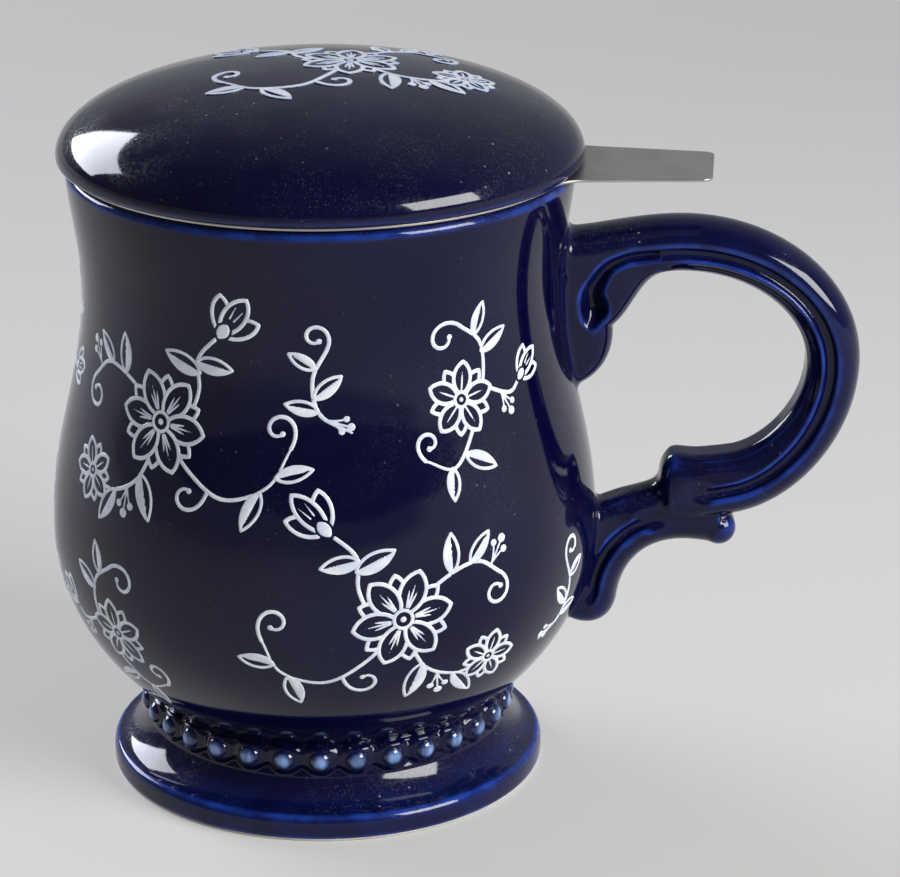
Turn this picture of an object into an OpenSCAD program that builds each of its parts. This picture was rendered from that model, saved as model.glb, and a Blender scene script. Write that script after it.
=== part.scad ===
// Lidded tea mug with a lift-out steel infuser.
// A glazed mug on a beaded pedestal foot, with a scrolled handle towards +X, a loose
// domed lid, and a perforated steel basket that hangs from the rim by its flat flange.
// Millimetres, +Z up. The origin is the middle of the foot's resting face.

/* [Mug body] */
// Height of the rim's flat top above the table
mug_h = 115; // [112:0.5:119]
// Widest diameter, at the belly
belly_d = 99.6; // [96:0.2:104]
// Height of the belly's widest line
belly_z = 48; // [45:0.5:51]
// Narrowest diameter, at the waist
waist_d = 86.2; // [84:0.2:88]
// Height of the rim above the waist's narrowest line
waist_drop = 22.5; // [20:0.5:25]
// Diameter over the rim's rolled lip
rim_d = 90.6; // [89:0.2:93]
// Radius of the rim's rolled lip
lip_r = 1.7; // [1.2:0.1:1.8]
// Thickness of the wall
wall = 4; // [3.6:0.1:4.6]
// Thickness of the floor
floor_t = 4; // [3:0.1:6]

/* [Pedestal foot] */
// Diameter of the foot plate
foot_d = 80.1; // [78:0.1:84]
// Height of the foot plate's rounded edge
plate_edge_h = 4.9; // [4:0.1:6]
// Height of the foot, up to the bead band
foot_h = 9.8; // [9:0.1:11]
// Width of the unglazed ring that the mug stands on
stand_ring = 4.2; // [3:0.1:5]
// Thickness of the band round the hollow under the foot
band_wall = 4.1; // [3.4:0.1:6]

/* [Bead band] */
// Height of the bead band
band_h = 6.2; // [6:0.1:7]
// Diameter of the band behind the beads
band_d = 65.6; // [64:0.2:66]
// Number of beads round the band
bead_count = 32; // [24:1:34]
// Diameter of one bead
bead_d = 4.3; // [3.6:0.1:4.6]
// How far a bead's centre stands out from the band
bead_out = 0.7; // [0.4:0.1:1.2]
// Width of the raised collar round each bead
bead_collar = 0.65; // [0.4:0.05:0.7]
// How far the collar stands out from the band
collar_out = 0.6; // [0.4:0.1:0.8]

/* [Handle] */
// How far the loop reaches out beyond the belly
handle_reach = 47.5; // [44:0.5:50]
// Height of the rim above the loop's highest point
loop_drop = 10.3; // [9:0.1:13]
// Height of the loop's highest point above its furthest reach
loop_rise = 27.2; // [25:0.1:30]
// Depth of the loop's section, from its crown to the finger side
loop_depth = 9.8; // [9:0.1:10.5]
// Depth of the section at the thumb scroll, where the loop ends
thumb_depth = 12.4; // [11.5:0.1:13]
// Height of the loop's lower edge above the thumb scroll's end
thumb_z = 47; // [46:0.1:48]
// Width of the handle, front to back
handle_w = 12.2; // [11:0.1:14]
// Depth of the channel between the two ridges on each side
groove_depth = 1.1; // [0.7:0.1:1.4]
// Height of the rounded tail's lowest point
tail_z = 26.8; // [25:0.1:28]
// How far the tail stands out beyond the belly
tail_out = 4.2; // [3.4:0.1:5]
// Diameter of the rolled knob under the loop
knob_d = 6.4; // [5.6:0.1:7]

/* [Lid] */
// How far the lid overhangs the rim's lip
lid_overhang = 1.6; // [1:0.1:2.4]
// Height of the dome above its widest line
dome_h = 14.5; // [12:0.5:18]
// Height of the lid's rolled edge, below its widest line
lid_edge_h = 2.3; // [1.8:0.1:3]
// Thickness of the dome
dome_t = 4.5; // [4:0.1:5.5]
// Height of the locating ring under the lid
ring_h = 6; // [4:0.5:8]
// Thickness of the locating ring
ring_t = 3.5; // [3:0.1:4.5]
// Clearance between the locating ring and the infuser's collar
ring_gap = 0.6; // [0.4:0.1:1]
// Hairline between the lid's seat and the flange
seat_gap = 0.02; // [0.01:0.01:0.1]

/* [Infuser] */
// Thickness of the flat flange and its tab
flange_t = 0.5; // [0.4:0.1:1]
// How far the flange's edge stays inside the rim's lip
flange_inset = 0.3; // [0.1:0.1:1]
// Thickness of the basket's sheet
sheet_t = 0.6; // [0.5:0.1:0.8]
// Clearance between the basket and the inside of the mug's waist
basket_gap = 3.1; // [2:0.1:5]
// Height of the plain collar under the flange
collar_h = 14; // [12:0.5:18]
// Depth of the basket below the rim
basket_depth = 64; // [58:1:68]
// Overlap of the perforated wall with the collar, and with the base's upturned edge
lap = 4; // [3:0.5:5]
// Diameter of one hole
hole_d = 2.2; // [1.4:0.1:2.4]
// Number of holes in one row round the wall
holes_round = 28; // [24:2:36]
// Number of rows of holes
hole_rows = 8; // [6:1:9]
// Number of rings of holes in the base
base_rings = 5; // [4:1:6]
// Distance from the mug's axis to the tab's end
tab_reach = 69.6; // [62:0.2:74]
// Width of the tab where it leaves the flange
tab_root_w = 23; // [20:0.5:27]
// Width of the tab at its end
tab_end_w = 18; // [14:0.5:19]
// Radius of the tab's end corners
tab_corner_r = 2; // [1:0.25:4]
// Radius of the fillets where the tab joins the flange
tab_fillet_r = 7; // [2:0.5:9]
// How far the infuser is turned from the handle, towards the front
tab_turn = -5; // [-20:0.1:20]

/* [Hidden] */

glaze = "midnightblue";
steel = "silver";

// Mug
belly_r = belly_d / 2;
waist_r = waist_d / 2;
waist_z = mug_h - waist_drop;
rim_r = rim_d / 2;
foot_r = foot_d / 2;
band_r = band_d / 2;
recess_r = band_r - band_wall;
bowl_z = foot_h + band_h;
floor_z = bowl_z + floor_t;
floor_fillet = 3;
edge_round = 0.5;
sweep_out = 1.2;      // the foot's sweep ends this far outside the band
groove_r = band_r - 0.5;
groove_h = 0.8;       // height of the dark groove over the band
revolve_fn = 144;

// Beads
bead_r = bead_d / 2;
collar_r = bead_r + bead_collar;
bead_z = foot_h + collar_r + 0.15;
bead_shift = -0.45;   // the first bead's angle from the front

// Handle
half_w = handle_w / 2;
crown = 3.4;          // depth of the rounded crown
ridge_a = 3.9;        // first ridge, measured from the crown
ridge_b = 6.2;        // second ridge
finger_edge = 2.2;    // rounding of the finger side
thumb_flare = 0.8;    // how far the thumb scroll flares up at its end
root_x = waist_r - 2;
core_x = waist_r - 7; // inner ends of the root lobes, inside the wall
loop_x = belly_r + handle_reach;
loop_top_z = mug_h - loop_drop;
loop_mid_z = loop_top_z - loop_rise;
thumb_x = belly_r + 13;
knob_x = belly_r + 22.6;

// Lid and infuser
flange_top_z = mug_h + flange_t;
lid_r = rim_r + lid_overhang;
lid_z = flange_top_z + seat_gap;
lid_wide_z = lid_z + lid_edge_h;
basket_r = waist_r - wall - basket_gap;
wall_r = basket_r - sheet_t;
base_r = wall_r - sheet_t;
collar_z = mug_h - collar_h;
basket_z = mug_h - basket_depth;
ring_out_r = wall_r - ring_gap;
ring_in_r = ring_out_r - ring_t;
flange_r = rim_r - flange_inset;

// A point of a cubic curve with end points and handles p
function bezier(p, t) = pow(1 - t, 3) * p[0] + 3 * pow(1 - t, 2) * t * p[1]
    + 3 * (1 - t) * t * t * p[2] + pow(t, 3) * p[3];
// n + 1 points of a curve, from share a to share b of it
function curve(p, n, a = 0, b = 1) = [for (i = [0:n]) bezier(p, a + (b - a) * i / n)];
// Points of an elliptic arc
function arc(c, rx, ry, from, to, n) =
    [for (i = [0:n]) let (a = from + (to - from) * i / n) c + [rx * cos(a), ry * sin(a)]];
// Direction along a row of points at point i
function along(p, i) = let (d = p[min(i + 1, len(p) - 1)] - p[max(i - 1, 0)]) d / norm(d);
// The row of points moved sideways by w, to the left of its direction
function inset(p, w) = [for (i = [0:len(p) - 1]) let (d = along(p, i)) p[i] + w * [-d[1], d[0]]];
// 0 before a, 1 after b, and a smooth step between
function fade(x, a, b) = let (s = min(max((x - a) / (b - a), 0), 1)) s * s * (3 - 2 * s);

// ---- Mug ----

// Outside of the bowl, from its seat on the band to the rim
belly_rise = belly_z - bowl_z;
waist_rise = waist_z - belly_z;
underside = curve([[band_r + 0.2, bowl_z], [band_r + 3.2, bowl_z + 2.6],
                   [belly_r, belly_z - 0.59 * belly_rise], [belly_r, belly_z]], 18);
flank = curve([[belly_r, belly_z], [belly_r, belly_z + 0.38 * waist_rise],
               [waist_r, waist_z - 0.34 * waist_rise], [waist_r, waist_z]], 16, 1 / 16);
lip_z = mug_h - lip_r;
neck = curve([[waist_r, waist_z], [waist_r, waist_z + 8.4],
              [rim_r - 0.45, lip_z - 6.2], [rim_r, lip_z]], 10, 1 / 10);
bowl_outside = concat(underside, flank, neck);
bowl_inside = [for (p = inset(bowl_outside, wall)) if (p[1] > floor_z + floor_fillet) p];

module bowl_form(profile) {
    rotate_extrude($fn = revolve_fn) polygon(profile);
}

module mug_bowl() {
    inside_n = len(bowl_inside);
    low = bowl_inside[0];
    lip_in = wall - lip_r;
    color(glaze) bowl_form(concat(
        [[0, bowl_z]],
        bowl_outside,
        arc([rim_r - lip_r, lip_z], lip_r, lip_r, 15, 90, 5),
        arc([rim_r - lip_r - 0.4, lip_z], lip_in - 0.4, lip_r, 90, 165, 5),
        [for (i = [inside_n - 1:-1:0]) bowl_inside[i]],
        arc([low[0] - floor_fillet, floor_z + floor_fillet], floor_fillet, floor_fillet, -15, -90, 5),
        [[0, floor_z]]));
}

// The bowl without its hollow, which the handle is cut to fit
module bowl_seat() {
    bowl_form(concat([[0, bowl_z]], bowl_outside, [[0, lip_z]]));
}

module bead_band() {
    color(glaze) {
        rotate_extrude($fn = revolve_fn) polygon([
            [recess_r, foot_h], [band_r, foot_h], [band_r, bowl_z - groove_h],
            [groove_r, bowl_z - groove_h + 0.3], [groove_r, bowl_z], [recess_r, bowl_z]]);
        for (i = [0:bead_count - 1])
            rotate([0, 0, 360 / bead_count * i + bead_shift - 90]) bead();
    }
}

// One bead with its collar, out along +X
module bead() {
    translate([band_r + bead_out, 0, bead_z]) sphere(r = bead_r, $fn = 32);
    translate([band_r - 1.5, 0, bead_z]) rotate([0, 90, 0])
        cylinder(r = collar_r, h = 1.5 + collar_out, $fn = 32);
}

module mug_foot() {
    plate_r = foot_r - 1.1;
    ring_in = foot_r - edge_round - stand_ring;
    color(glaze) rotate_extrude($fn = revolve_fn) polygon(concat(
        [[ring_in, 0]],
        arc([foot_r - edge_round, 1.5], edge_round, 1.5, -90, 0, 4),
        arc([plate_r, plate_edge_h - 1.9], 1.1, 1.9, 20, 90, 5),
        curve([[plate_r - 0.6, plate_edge_h + 0.05], [plate_r - 3, plate_edge_h + 0.5],
               [band_r + sweep_out + 0.5, foot_h - 2.6], [band_r + sweep_out, foot_h]], 8),
        curve([[recess_r, foot_h], [recess_r + 1, foot_h - 4], [ring_in - 1, 4], [ring_in, 0]],
              7, 0, 7 / 8)));
}

// ---- Handle ----

// Half outline of a section: distance from the crown, and half width
function rib(depth, w, groove) = concat(
    [for (a = [0:15:90]) [crown * (1 - cos(a)), w * sin(a)]],
    [[ridge_a, 0.985 * w], [ridge_a + 0.5, 0.97 * w - groove], [ridge_b - 0.7, 0.95 * w - groove],
     [ridge_b, 0.93 * w], [ridge_b + 0.6, 0.91 * w],
     [depth - finger_edge, 0.84 * w], [depth - 0.35 * finger_edge, 0.68 * w], [depth, 0.4 * w]]);
// A section in space, from crown point p towards the finger side at q
function section(p, q, w, groove) =
    let (depth = norm(q - p), d = (q - p) / depth, half = rib(depth, w, groove), n = len(half))
    concat(
        [for (h = half) let (c = p + h[0] * d) [c[0], -h[1], c[1]]],
        [for (i = [n - 1:-1:1]) let (c = p + half[i][0] * d) [c[0], half[i][1], c[1]]]);

function mean(p) = [for (q = p) 1 / len(p)] * p;

// A solid through a row of sections, closed by fans at its ends
module loft(sections) {
    rings = len(sections);
    n = len(sections[0]);
    last = (rings - 1) * n;
    hub = rings * n;
    points = concat([for (s = sections) each s], [mean(sections[0]), mean(sections[rings - 1])]);
    sides = [for (r = [0:rings - 2], i = [0:n - 1]) let (j = (i + 1) % n, a = r * n, b = a + n)
        each [[a + i, b + i, b + j], [a + i, b + j, a + j]]];
    ends = [for (i = [0:n - 1]) let (j = (i + 1) % n)
        each [[hub, i, j], [hub + 1, last + j, last + i]]];
    polyhedron(points, concat(sides, ends), convexity = 8);
}

// Crown of the loop: over the top, down its outside, and in to the thumb scroll
crest_x = belly_r + 14.7;
loop_crown = concat(
    curve([[root_x, loop_top_z - 2.5], [root_x + 8, loop_top_z - 2.2],
           [crest_x - 8, loop_top_z], [crest_x, loop_top_z]], 9),
    curve([[crest_x, loop_top_z], [crest_x + 18, loop_top_z],
           [loop_x, loop_mid_z + 15], [loop_x, loop_mid_z]], 18, 1 / 18),
    curve([[loop_x, loop_mid_z], [loop_x, loop_mid_z - 13.5],
           [belly_r + 38.2, thumb_z + 5.3], [belly_r + 28.2, thumb_z + 2]], 14, 1 / 14),
    curve([[belly_r + 28.2, thumb_z + 2], [belly_r + 23.5, thumb_z + 0.5],
           [thumb_x + 5, thumb_z + 0.2], [thumb_x + 1.3, thumb_z]], 8, 1 / 8));
loop_n = len(loop_crown);
function loop_section(i) =
    let (d = along(loop_crown, i), s = i / (loop_n - 1),
         depth = loop_depth + (thumb_depth - loop_depth) * fade(s, 0.55, 0.94) + thumb_flare * fade(s, 0.92, 1),
         groove = groove_depth * fade(s, 0.06, 0.2) * (1 - fade(s, 0.86, 0.93)))
    section(loop_crown[i], loop_crown[i] + depth * [d[1], -d[0]], half_w, groove);
// The scroll's end face, drawn in to a soft edge
thumb_end =
    let (p = [thumb_x, thumb_z + 1], q = [thumb_x - 0.6, thumb_z + thumb_depth - 1])
    section(p, q, half_w - 1.1, 0);

// Root lobes: two leaf lobes under the loop, against the wall
lobe_upper = curve([[crest_x - 0.5, loop_top_z - loop_depth], [crest_x - 7, loop_top_z - 9.5],
                    [crest_x - 8, loop_top_z - 17.2], [crest_x - 11.9, loop_top_z - 20.3]], 9);
lobe_lower = curve([[crest_x - 13.4, loop_top_z - 14.5], [crest_x - 10.4, loop_top_z - 22.5],
                    [crest_x - 12.2, loop_top_z - 29.2], [crest_x - 18.5, loop_top_z - 31.8]], 12);

module lobe(edge, rise, w0, w1) {
    n = len(edge) - 1;
    loft([for (i = [0:n]) section(edge[i], [core_x, edge[i][1] + rise], w0 + (w1 - w0) * i / n, 0)]);
}

// Bracket: from the rounded tail on the belly, up and out to the knob
tail_x = belly_r + tail_out;
bracket_crown = concat(
    curve([[belly_r - 5.3, tail_z + 1.3], [belly_r - 1.3, tail_z - 1.3],
           [tail_x - 0.8, tail_z - 0.5], [tail_x, tail_z + 5.2]], 8),
    curve([[tail_x, tail_z + 5.2], [tail_x + 1, thumb_z - 8], [tail_x + 5.3, thumb_z - 4],
           [belly_r + 16.2, thumb_z - 4.1]], 12, 1 / 12),
    curve([[belly_r + 16.2, thumb_z - 4.1], [belly_r + 18.5, thumb_z - 4.1],
           [knob_x - 2, thumb_z - 4.7], [knob_x, thumb_z - 4.7]], 4, 1 / 4));
bracket_back = concat(
    curve([[core_x + 2, tail_z + 12], [core_x + 2, tail_z + 13], [core_x + 2, tail_z + 15],
           [core_x + 3, tail_z + 16]], 8),
    curve([[core_x + 3, tail_z + 16], [core_x + 6, thumb_z + 1.5], [belly_r + 5.2, thumb_z + 5],
           [belly_r + 13.7, thumb_z + 8]], 12, 1 / 12),
    curve([[belly_r + 13.7, thumb_z + 8], [belly_r + 17, thumb_z + 8],
           [knob_x, thumb_z + 6], [knob_x, thumb_z + 5]], 4, 1 / 4));
bracket_n = len(bracket_crown);
function bracket_section(i) =
    let (s = i / (bracket_n - 1), groove = groove_depth * fade(s, 0.2, 0.35) * (1 - fade(s, 0.7, 0.85)))
    section(bracket_crown[i], bracket_back[i], half_w - 0.5 - 0.8 * fade(s, 0.4, 0.9), groove);

// The channel's curled end on one side of the root, as beads of this radius on its way
curl = [[-6.8, -6.1, 0.9], [-10.2, -6.7, 0.9], [-13.3, -8.8, 1.0], [-15.1, -11.6, 1.1],
        [-16, -14, 1.4], [-15.5, -16.6, 1.7], [-15.8, -18.6, 1.1]];

module curl_bead(c) {
    translate([crest_x + c[0], half_w - 1.4 + c[2], loop_top_z + c[1]]) sphere(r = c[2], $fn = 16);
}

module curl_cut() {
    for (i = [0:len(curl) - 2]) hull() {
        curl_bead(curl[i]);
        curl_bead(curl[i + 1]);
    }
}

module handle() {
    color(glaze) difference() {
        union() {
            loft(concat([for (i = [0:loop_n - 1]) loop_section(i)], [thumb_end]));
            lobe(lobe_upper, 8, half_w - 0.6, half_w - 1.4);
            lobe(lobe_lower, 3, half_w - 1.2, half_w - 2.2);
            loft([for (i = [bracket_n - 1:-1:0]) bracket_section(i)]);
            hull() for (side = [-1, 1])
                translate([knob_x, side * (half_w - 1.2 - knob_d / 2), thumb_z - 4.7 + knob_d / 2])
                    sphere(d = knob_d, $fn = 24);
        }
        curl_cut();
        mirror([0, 1, 0]) curl_cut();
        bowl_seat();
    }
}

// ---- Lid ----

module lid_dome() {
    edge_r = 2;
    hollow_r = lid_r - dome_t;
    hollow_h = dome_h - dome_t;
    hollow_top = lid_wide_z + hollow_h * sqrt(1 - pow(ring_in_r / hollow_r, 2));
    start = acos(ring_in_r / hollow_r);
    color(glaze) rotate_extrude($fn = revolve_fn) polygon(concat(
        [[ring_in_r, lid_z]],
        arc([lid_r - edge_r, lid_wide_z], edge_r, lid_edge_h, -90, 0, 6),
        arc([0, lid_wide_z], lid_r, dome_h, 4, 90, 20),
        arc([0, lid_wide_z], hollow_r, hollow_h, 90, start, 10)));
}

module lid_ring() {
    z = lid_z - ring_h;
    color(glaze) rotate_extrude($fn = revolve_fn) polygon([
        [ring_in_r, lid_z], [ring_in_r, z + 0.8], [ring_in_r + 0.8, z],
        [ring_out_r - 0.8, z], [ring_out_r, z + 0.8], [ring_out_r, lid_z]]);
}

// ---- Infuser ----

// Edge of the tab on its +Y side, from the flange round the fillet and the end's corner.
// The edge leans in by lean, and n is its outward normal.
tab_root = [flange_r, tab_root_w / 2];
lean = atan2((tab_root_w - tab_end_w) / 2, tab_reach - flange_r);
tab_n = [sin(lean), cos(lean)];
tab_off = tab_n * tab_root;
fillet_c = (tab_off + tab_fillet_r) * tab_n + [cos(lean), -sin(lean)]
    * sqrt(pow(flange_r + tab_fillet_r, 2) - pow(tab_off + tab_fillet_r, 2));
corner_x = tab_reach - tab_corner_r;
corner_c = [corner_x, (tab_off - tab_corner_r - tab_n[0] * corner_x) / tab_n[1]];
tab_edge = concat(
    [fillet_c * (flange_r - 3) / (flange_r + tab_fillet_r)],
    arc(fillet_c, tab_fillet_r, tab_fillet_r, 180 + atan2(fillet_c[1], fillet_c[0]), 270 - lean, 8),
    arc(corner_c, tab_corner_r, tab_corner_r, 90 - lean, 0, 8));

module infuser_rim() {
    n = len(tab_edge) - 1;
    color(steel) rotate([0, 0, tab_turn]) translate([0, 0, mug_h]) difference() {
        union() {
            cylinder(r = flange_r, h = flange_t, $fn = revolve_fn);
            linear_extrude(flange_t)
                polygon(concat(tab_edge, [for (i = [n:-1:0]) [tab_edge[i][0], -tab_edge[i][1]]]));
        }
        translate([0, 0, -1]) cylinder(r = wall_r, h = flange_t + 2, $fn = revolve_fn);
    }
}

module tube(r_out, t, z0, z1) {
    translate([0, 0, z0]) difference() {
        cylinder(r = r_out, h = z1 - z0, $fn = revolve_fn);
        translate([0, 0, -1]) cylinder(r = r_out - t, h = z1 - z0 + 2, $fn = revolve_fn);
    }
}

module infuser_collar() {
    color(steel) tube(basket_r, sheet_t, collar_z, mug_h);
}

module infuser_wall() {
    top = collar_z + lap;
    low = basket_z + lap + hole_d;
    pitch = (collar_z - hole_d - low) / (hole_rows - 1);
    color(steel) difference() {
        tube(wall_r, sheet_t, basket_z, top);
        for (row = [0:hole_rows - 1], i = [0:holes_round - 1])
            rotate([0, 0, 360 / holes_round * (i + (row % 2) / 2)])
                translate([wall_r - sheet_t - 1, 0, low + pitch * row])
                    rotate([0, 90, 0]) cylinder(d = hole_d, h = sheet_t + 2, $fn = 16);
    }
}

module infuser_base() {
    pitch = (base_r - sheet_t - hole_d) / base_rings;
    color(steel) difference() {
        translate([0, 0, basket_z]) cylinder(r = base_r, h = lap, $fn = revolve_fn);
        translate([0, 0, basket_z + sheet_t]) cylinder(r = base_r - sheet_t, h = lap, $fn = revolve_fn);
        translate([0, 0, basket_z - 1]) {
            cylinder(d = hole_d, h = sheet_t + 2, $fn = 16);
            for (ring = [1:base_rings], i = [0:6 * ring - 1])
                rotate([0, 0, 60 / ring * i]) translate([pitch * ring, 0, 0])
                    cylinder(d = hole_d, h = sheet_t + 2, $fn = 16);
        }
    }
}

mug_bowl();
bead_band();
mug_foot();
handle();
lid_dome();
lid_ring();
infuser_rim();
infuser_collar();
infuser_wall();
infuser_base();
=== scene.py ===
"""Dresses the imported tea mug: cobalt glaze, slip drawing, beads, steel infuser and a pale studio.

Lengths are in millimetres in the shape functions, and in metres in Blender.
+Z is up, the handle points to +X, and the origin is the middle of the foot's resting face.
"""

import math
from types import SimpleNamespace

import bmesh
import bpy
import numpy as np
from bpy.props import FloatProperty, FloatVectorProperty, IntProperty, PointerProperty
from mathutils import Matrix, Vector


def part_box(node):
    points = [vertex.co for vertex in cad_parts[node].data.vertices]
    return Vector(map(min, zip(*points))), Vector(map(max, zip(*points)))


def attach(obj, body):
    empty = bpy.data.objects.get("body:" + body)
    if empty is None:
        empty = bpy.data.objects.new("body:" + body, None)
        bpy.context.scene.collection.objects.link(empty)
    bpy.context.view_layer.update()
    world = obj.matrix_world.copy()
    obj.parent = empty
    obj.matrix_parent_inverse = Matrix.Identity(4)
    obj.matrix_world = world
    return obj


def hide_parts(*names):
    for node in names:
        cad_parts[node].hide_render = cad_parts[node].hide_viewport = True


bl_info = {
    "name": "Lidded tea mug",
    "version": (1, 0, 0),
    "blender": (4, 5, 0),
    "location": "3D View > Sidebar > Tea mug",
    "description": "Builds the glazed pieces, the slip drawing and the steel infuser of a tea mug",
    "category": "Object",
}

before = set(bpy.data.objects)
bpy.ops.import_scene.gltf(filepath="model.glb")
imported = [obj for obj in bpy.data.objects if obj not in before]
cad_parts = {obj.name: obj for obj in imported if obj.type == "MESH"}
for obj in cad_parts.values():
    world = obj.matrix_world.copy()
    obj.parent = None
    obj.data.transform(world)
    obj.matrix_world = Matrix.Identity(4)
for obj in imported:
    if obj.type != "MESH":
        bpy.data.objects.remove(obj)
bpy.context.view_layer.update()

MM = 0.001
TINY = 1e-6  # a length in mm that counts as none


# ---- Sizes and colours that a user would change ----


def length(name, millimetres, text):
    """A length in the sidebar, with its default given in millimetres."""
    return FloatProperty(
        name=name,
        description=text,
        default=millimetres * MM,
        min=0.0,
        precision=5,
        unit="LENGTH",
    )


def colour(name, rgb, text):
    """A linear colour in the sidebar."""
    return FloatVectorProperty(
        name=name, description=text, default=rgb, size=3, min=0.0, max=1.0, subtype="COLOR"
    )


def box_top(node):
    """Height of a CAD node's highest point, in millimetres."""
    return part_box(node)[1].z / MM


def box_low(node):
    """Height of a CAD node's lowest point, in millimetres."""
    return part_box(node)[0].z / MM


class BowlSizes(bpy.types.PropertyGroup):
    height: length("Rim height", box_top("mug_bowl"), "Height of the rim above the table")
    belly_d: length("Belly diameter", 99.4, "Widest diameter of the bowl")
    belly_z: length("Belly height", 48, "Height of the widest line")
    waist_d: length("Waist diameter", 86.2, "Narrowest diameter, under the rim")
    waist_drop: length("Waist drop", 22.5, "Height of the rim above the narrowest line")
    rim_d: length("Rim diameter", 90.6, "Diameter over the rolled lip")
    lip_r: length("Lip radius", 1.7, "Radius of the rolled lip")
    wall: length("Wall", 4, "Thickness of the wall")
    floor_t: length("Floor", 4, "Thickness of the floor")
    seat_z: length("Seat height", box_low("mug_bowl"), "Height of the bowl's underside")


class FootSizes(bpy.types.PropertyGroup):
    foot_d: length("Foot diameter", 80.1, "Diameter of the foot plate")
    plate_edge_h: length("Plate edge", 4.9, "Height of the foot plate's rounded edge")
    foot_h: length("Foot height", 9.8, "Height of the foot, up to the bead band")
    stand_ring: length("Stand ring", 4.2, "Width of the unglazed ring under the foot")
    glaze_line: length("Glaze line", 0.55, "Height at which the glaze starts")
    band_d: length("Band diameter", 65.6, "Diameter of the band behind the beads")
    band_wall: length("Band wall", 4.1, "Thickness of the band round the hollow")
    bead_count: IntProperty(
        name="Beads", description="Number of beads round the band", default=32, min=8
    )
    bead_d: length("Bead diameter", 4.2, "Diameter of one bead")
    bead_out: length("Bead stand-out", 0.45, "How far a bead's centre stands out of the band")
    bead_collar: length("Collar width", 0.95, "Width of the raised collar round a bead")
    collar_out: length("Collar stand-out", 1.25, "How far the collar stands out of the band")


class HandleSizes(bpy.types.PropertyGroup):
    reach: length("Reach", 47.5, "How far the loop reaches out beyond the belly")
    loop_drop: length("Loop drop", 10.3, "Height of the rim above the loop's highest point")
    loop_rise: length("Loop rise", 27.2, "Height of the loop's top above its furthest reach")
    loop_depth: length("Loop depth", 9.8, "Depth of the loop's section")
    thumb_depth: length("Scroll depth", 12.4, "Depth of the section at the thumb scroll")
    thumb_z: length("Scroll height", 47, "Height of the loop's lower edge at the scroll")
    width: length("Width", 12.2, "Width of the handle, front to back")
    groove: length("Channel", 1.1, "Depth of the channel between the two ridges")
    tail_z: length("Tail height", 26.8, "Height of the rounded tail's lowest point")
    tail_out: length("Tail stand-out", 4.2, "How far the tail stands out beyond the belly")
    knob_d: length("Knob diameter", 6.4, "Diameter of the rolled knob")
    fillet: length("Fillet", 1.6, "Reach of the glazed fillets where the handle meets the bowl")


class LidSizes(bpy.types.PropertyGroup):
    overhang: length("Overhang", 1.6, "How far the lid overhangs the rim")
    seat_z: length("Seat height", box_low("lid_dome"), "Height of the lid's seat")
    edge_h: length("Edge height", 1.5, "Height of the rolled edge")
    dome_t: length("Thickness", 4.5, "Thickness of the dome")
    top_z: length("Top height", box_top("lid_dome") - 0.2, "Height of the dome's top")
    ring_z: length("Ring height", box_low("lid_ring"), "Height of the locating ring's end")
    ring_t: length("Ring thickness", 3.5, "Thickness of the locating ring")
    ring_gap: length("Ring clearance", 0.6, "Clearance between the ring and the basket")


class InfuserSizes(bpy.types.PropertyGroup):
    flange_t: length("Flange thickness", 0.5, "Thickness of the flange and its tab")
    flange_inset: length("Flange inset", 0.3, "How far the flange stays inside the lip")
    sheet_t: length("Sheet", 0.6, "Thickness of the basket's sheet")
    basket_gap: length("Clearance", 3.1, "Clearance between the basket and the waist's inside")
    collar_h: length("Collar height", 14, "Height of the plain collar")
    basket_z: length("Basket height", box_low("infuser_base"), "Height of the basket's base")
    lap: length("Lap", 4, "Overlap of the wall with the collar and the base's edge")
    hole_d: length("Hole diameter", 1.2, "Diameter of one hole")
    hole_pitch: length("Hole pitch", 2.4, "Distance between holes")
    tab_reach: length("Tab reach", 69.6, "Distance from the axis to the tab's end")
    tab_root_w: length("Tab root width", 23, "Width of the tab where it leaves the flange")
    tab_end_w: length("Tab end width", 18, "Width of the tab at its end")
    tab_corner_r: length("Tab corner", 2, "Radius of the tab's end corners")
    tab_fillet_r: length("Tab fillet", 7, "Radius of the fillets at the tab's root")
    tab_turn: FloatProperty(
        name="Tab turn",
        description="How far the infuser is turned from the handle",
        default=math.radians(-5),
        subtype="ANGLE",
    )


class SlipSizes(bpy.types.PropertyGroup):
    outline_w: length("Outline", 0.92, "Width of the drawing's outlines")
    vein_w: length("Vein", 0.55, "Width of the drawing's veins and stalks")
    stand: length("Stand-out", 0.1, "How far the slip stands out of the glaze")


class Finishes(bpy.types.PropertyGroup):
    deep_cobalt: colour("Deep cobalt", (0.0016, 0.0010, 0.019), "Glaze where it lies thick")
    thin_cobalt: colour("Thin cobalt", (0.010, 0.040, 0.28), "Glaze where it breaks over an edge")
    bead_pale: colour("Pale bead", (0.19, 0.31, 0.62), "Glaze on the crown of a bead")
    bead_dark: colour("Bead rim", (0.002, 0.006, 0.05), "Glaze pooled round a bead")
    slip_white: colour("White slip", (0.78, 0.80, 0.84), "The drawing's slip")
    slip_thin: colour("Thin slip", (0.33, 0.42, 0.60), "Slip where it lies thin")
    clay: colour("Bare clay", (0.62, 0.58, 0.50), "The unglazed stand ring")
    steel: colour("Steel", (0.52, 0.49, 0.465), "The infuser's satin steel")


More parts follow.
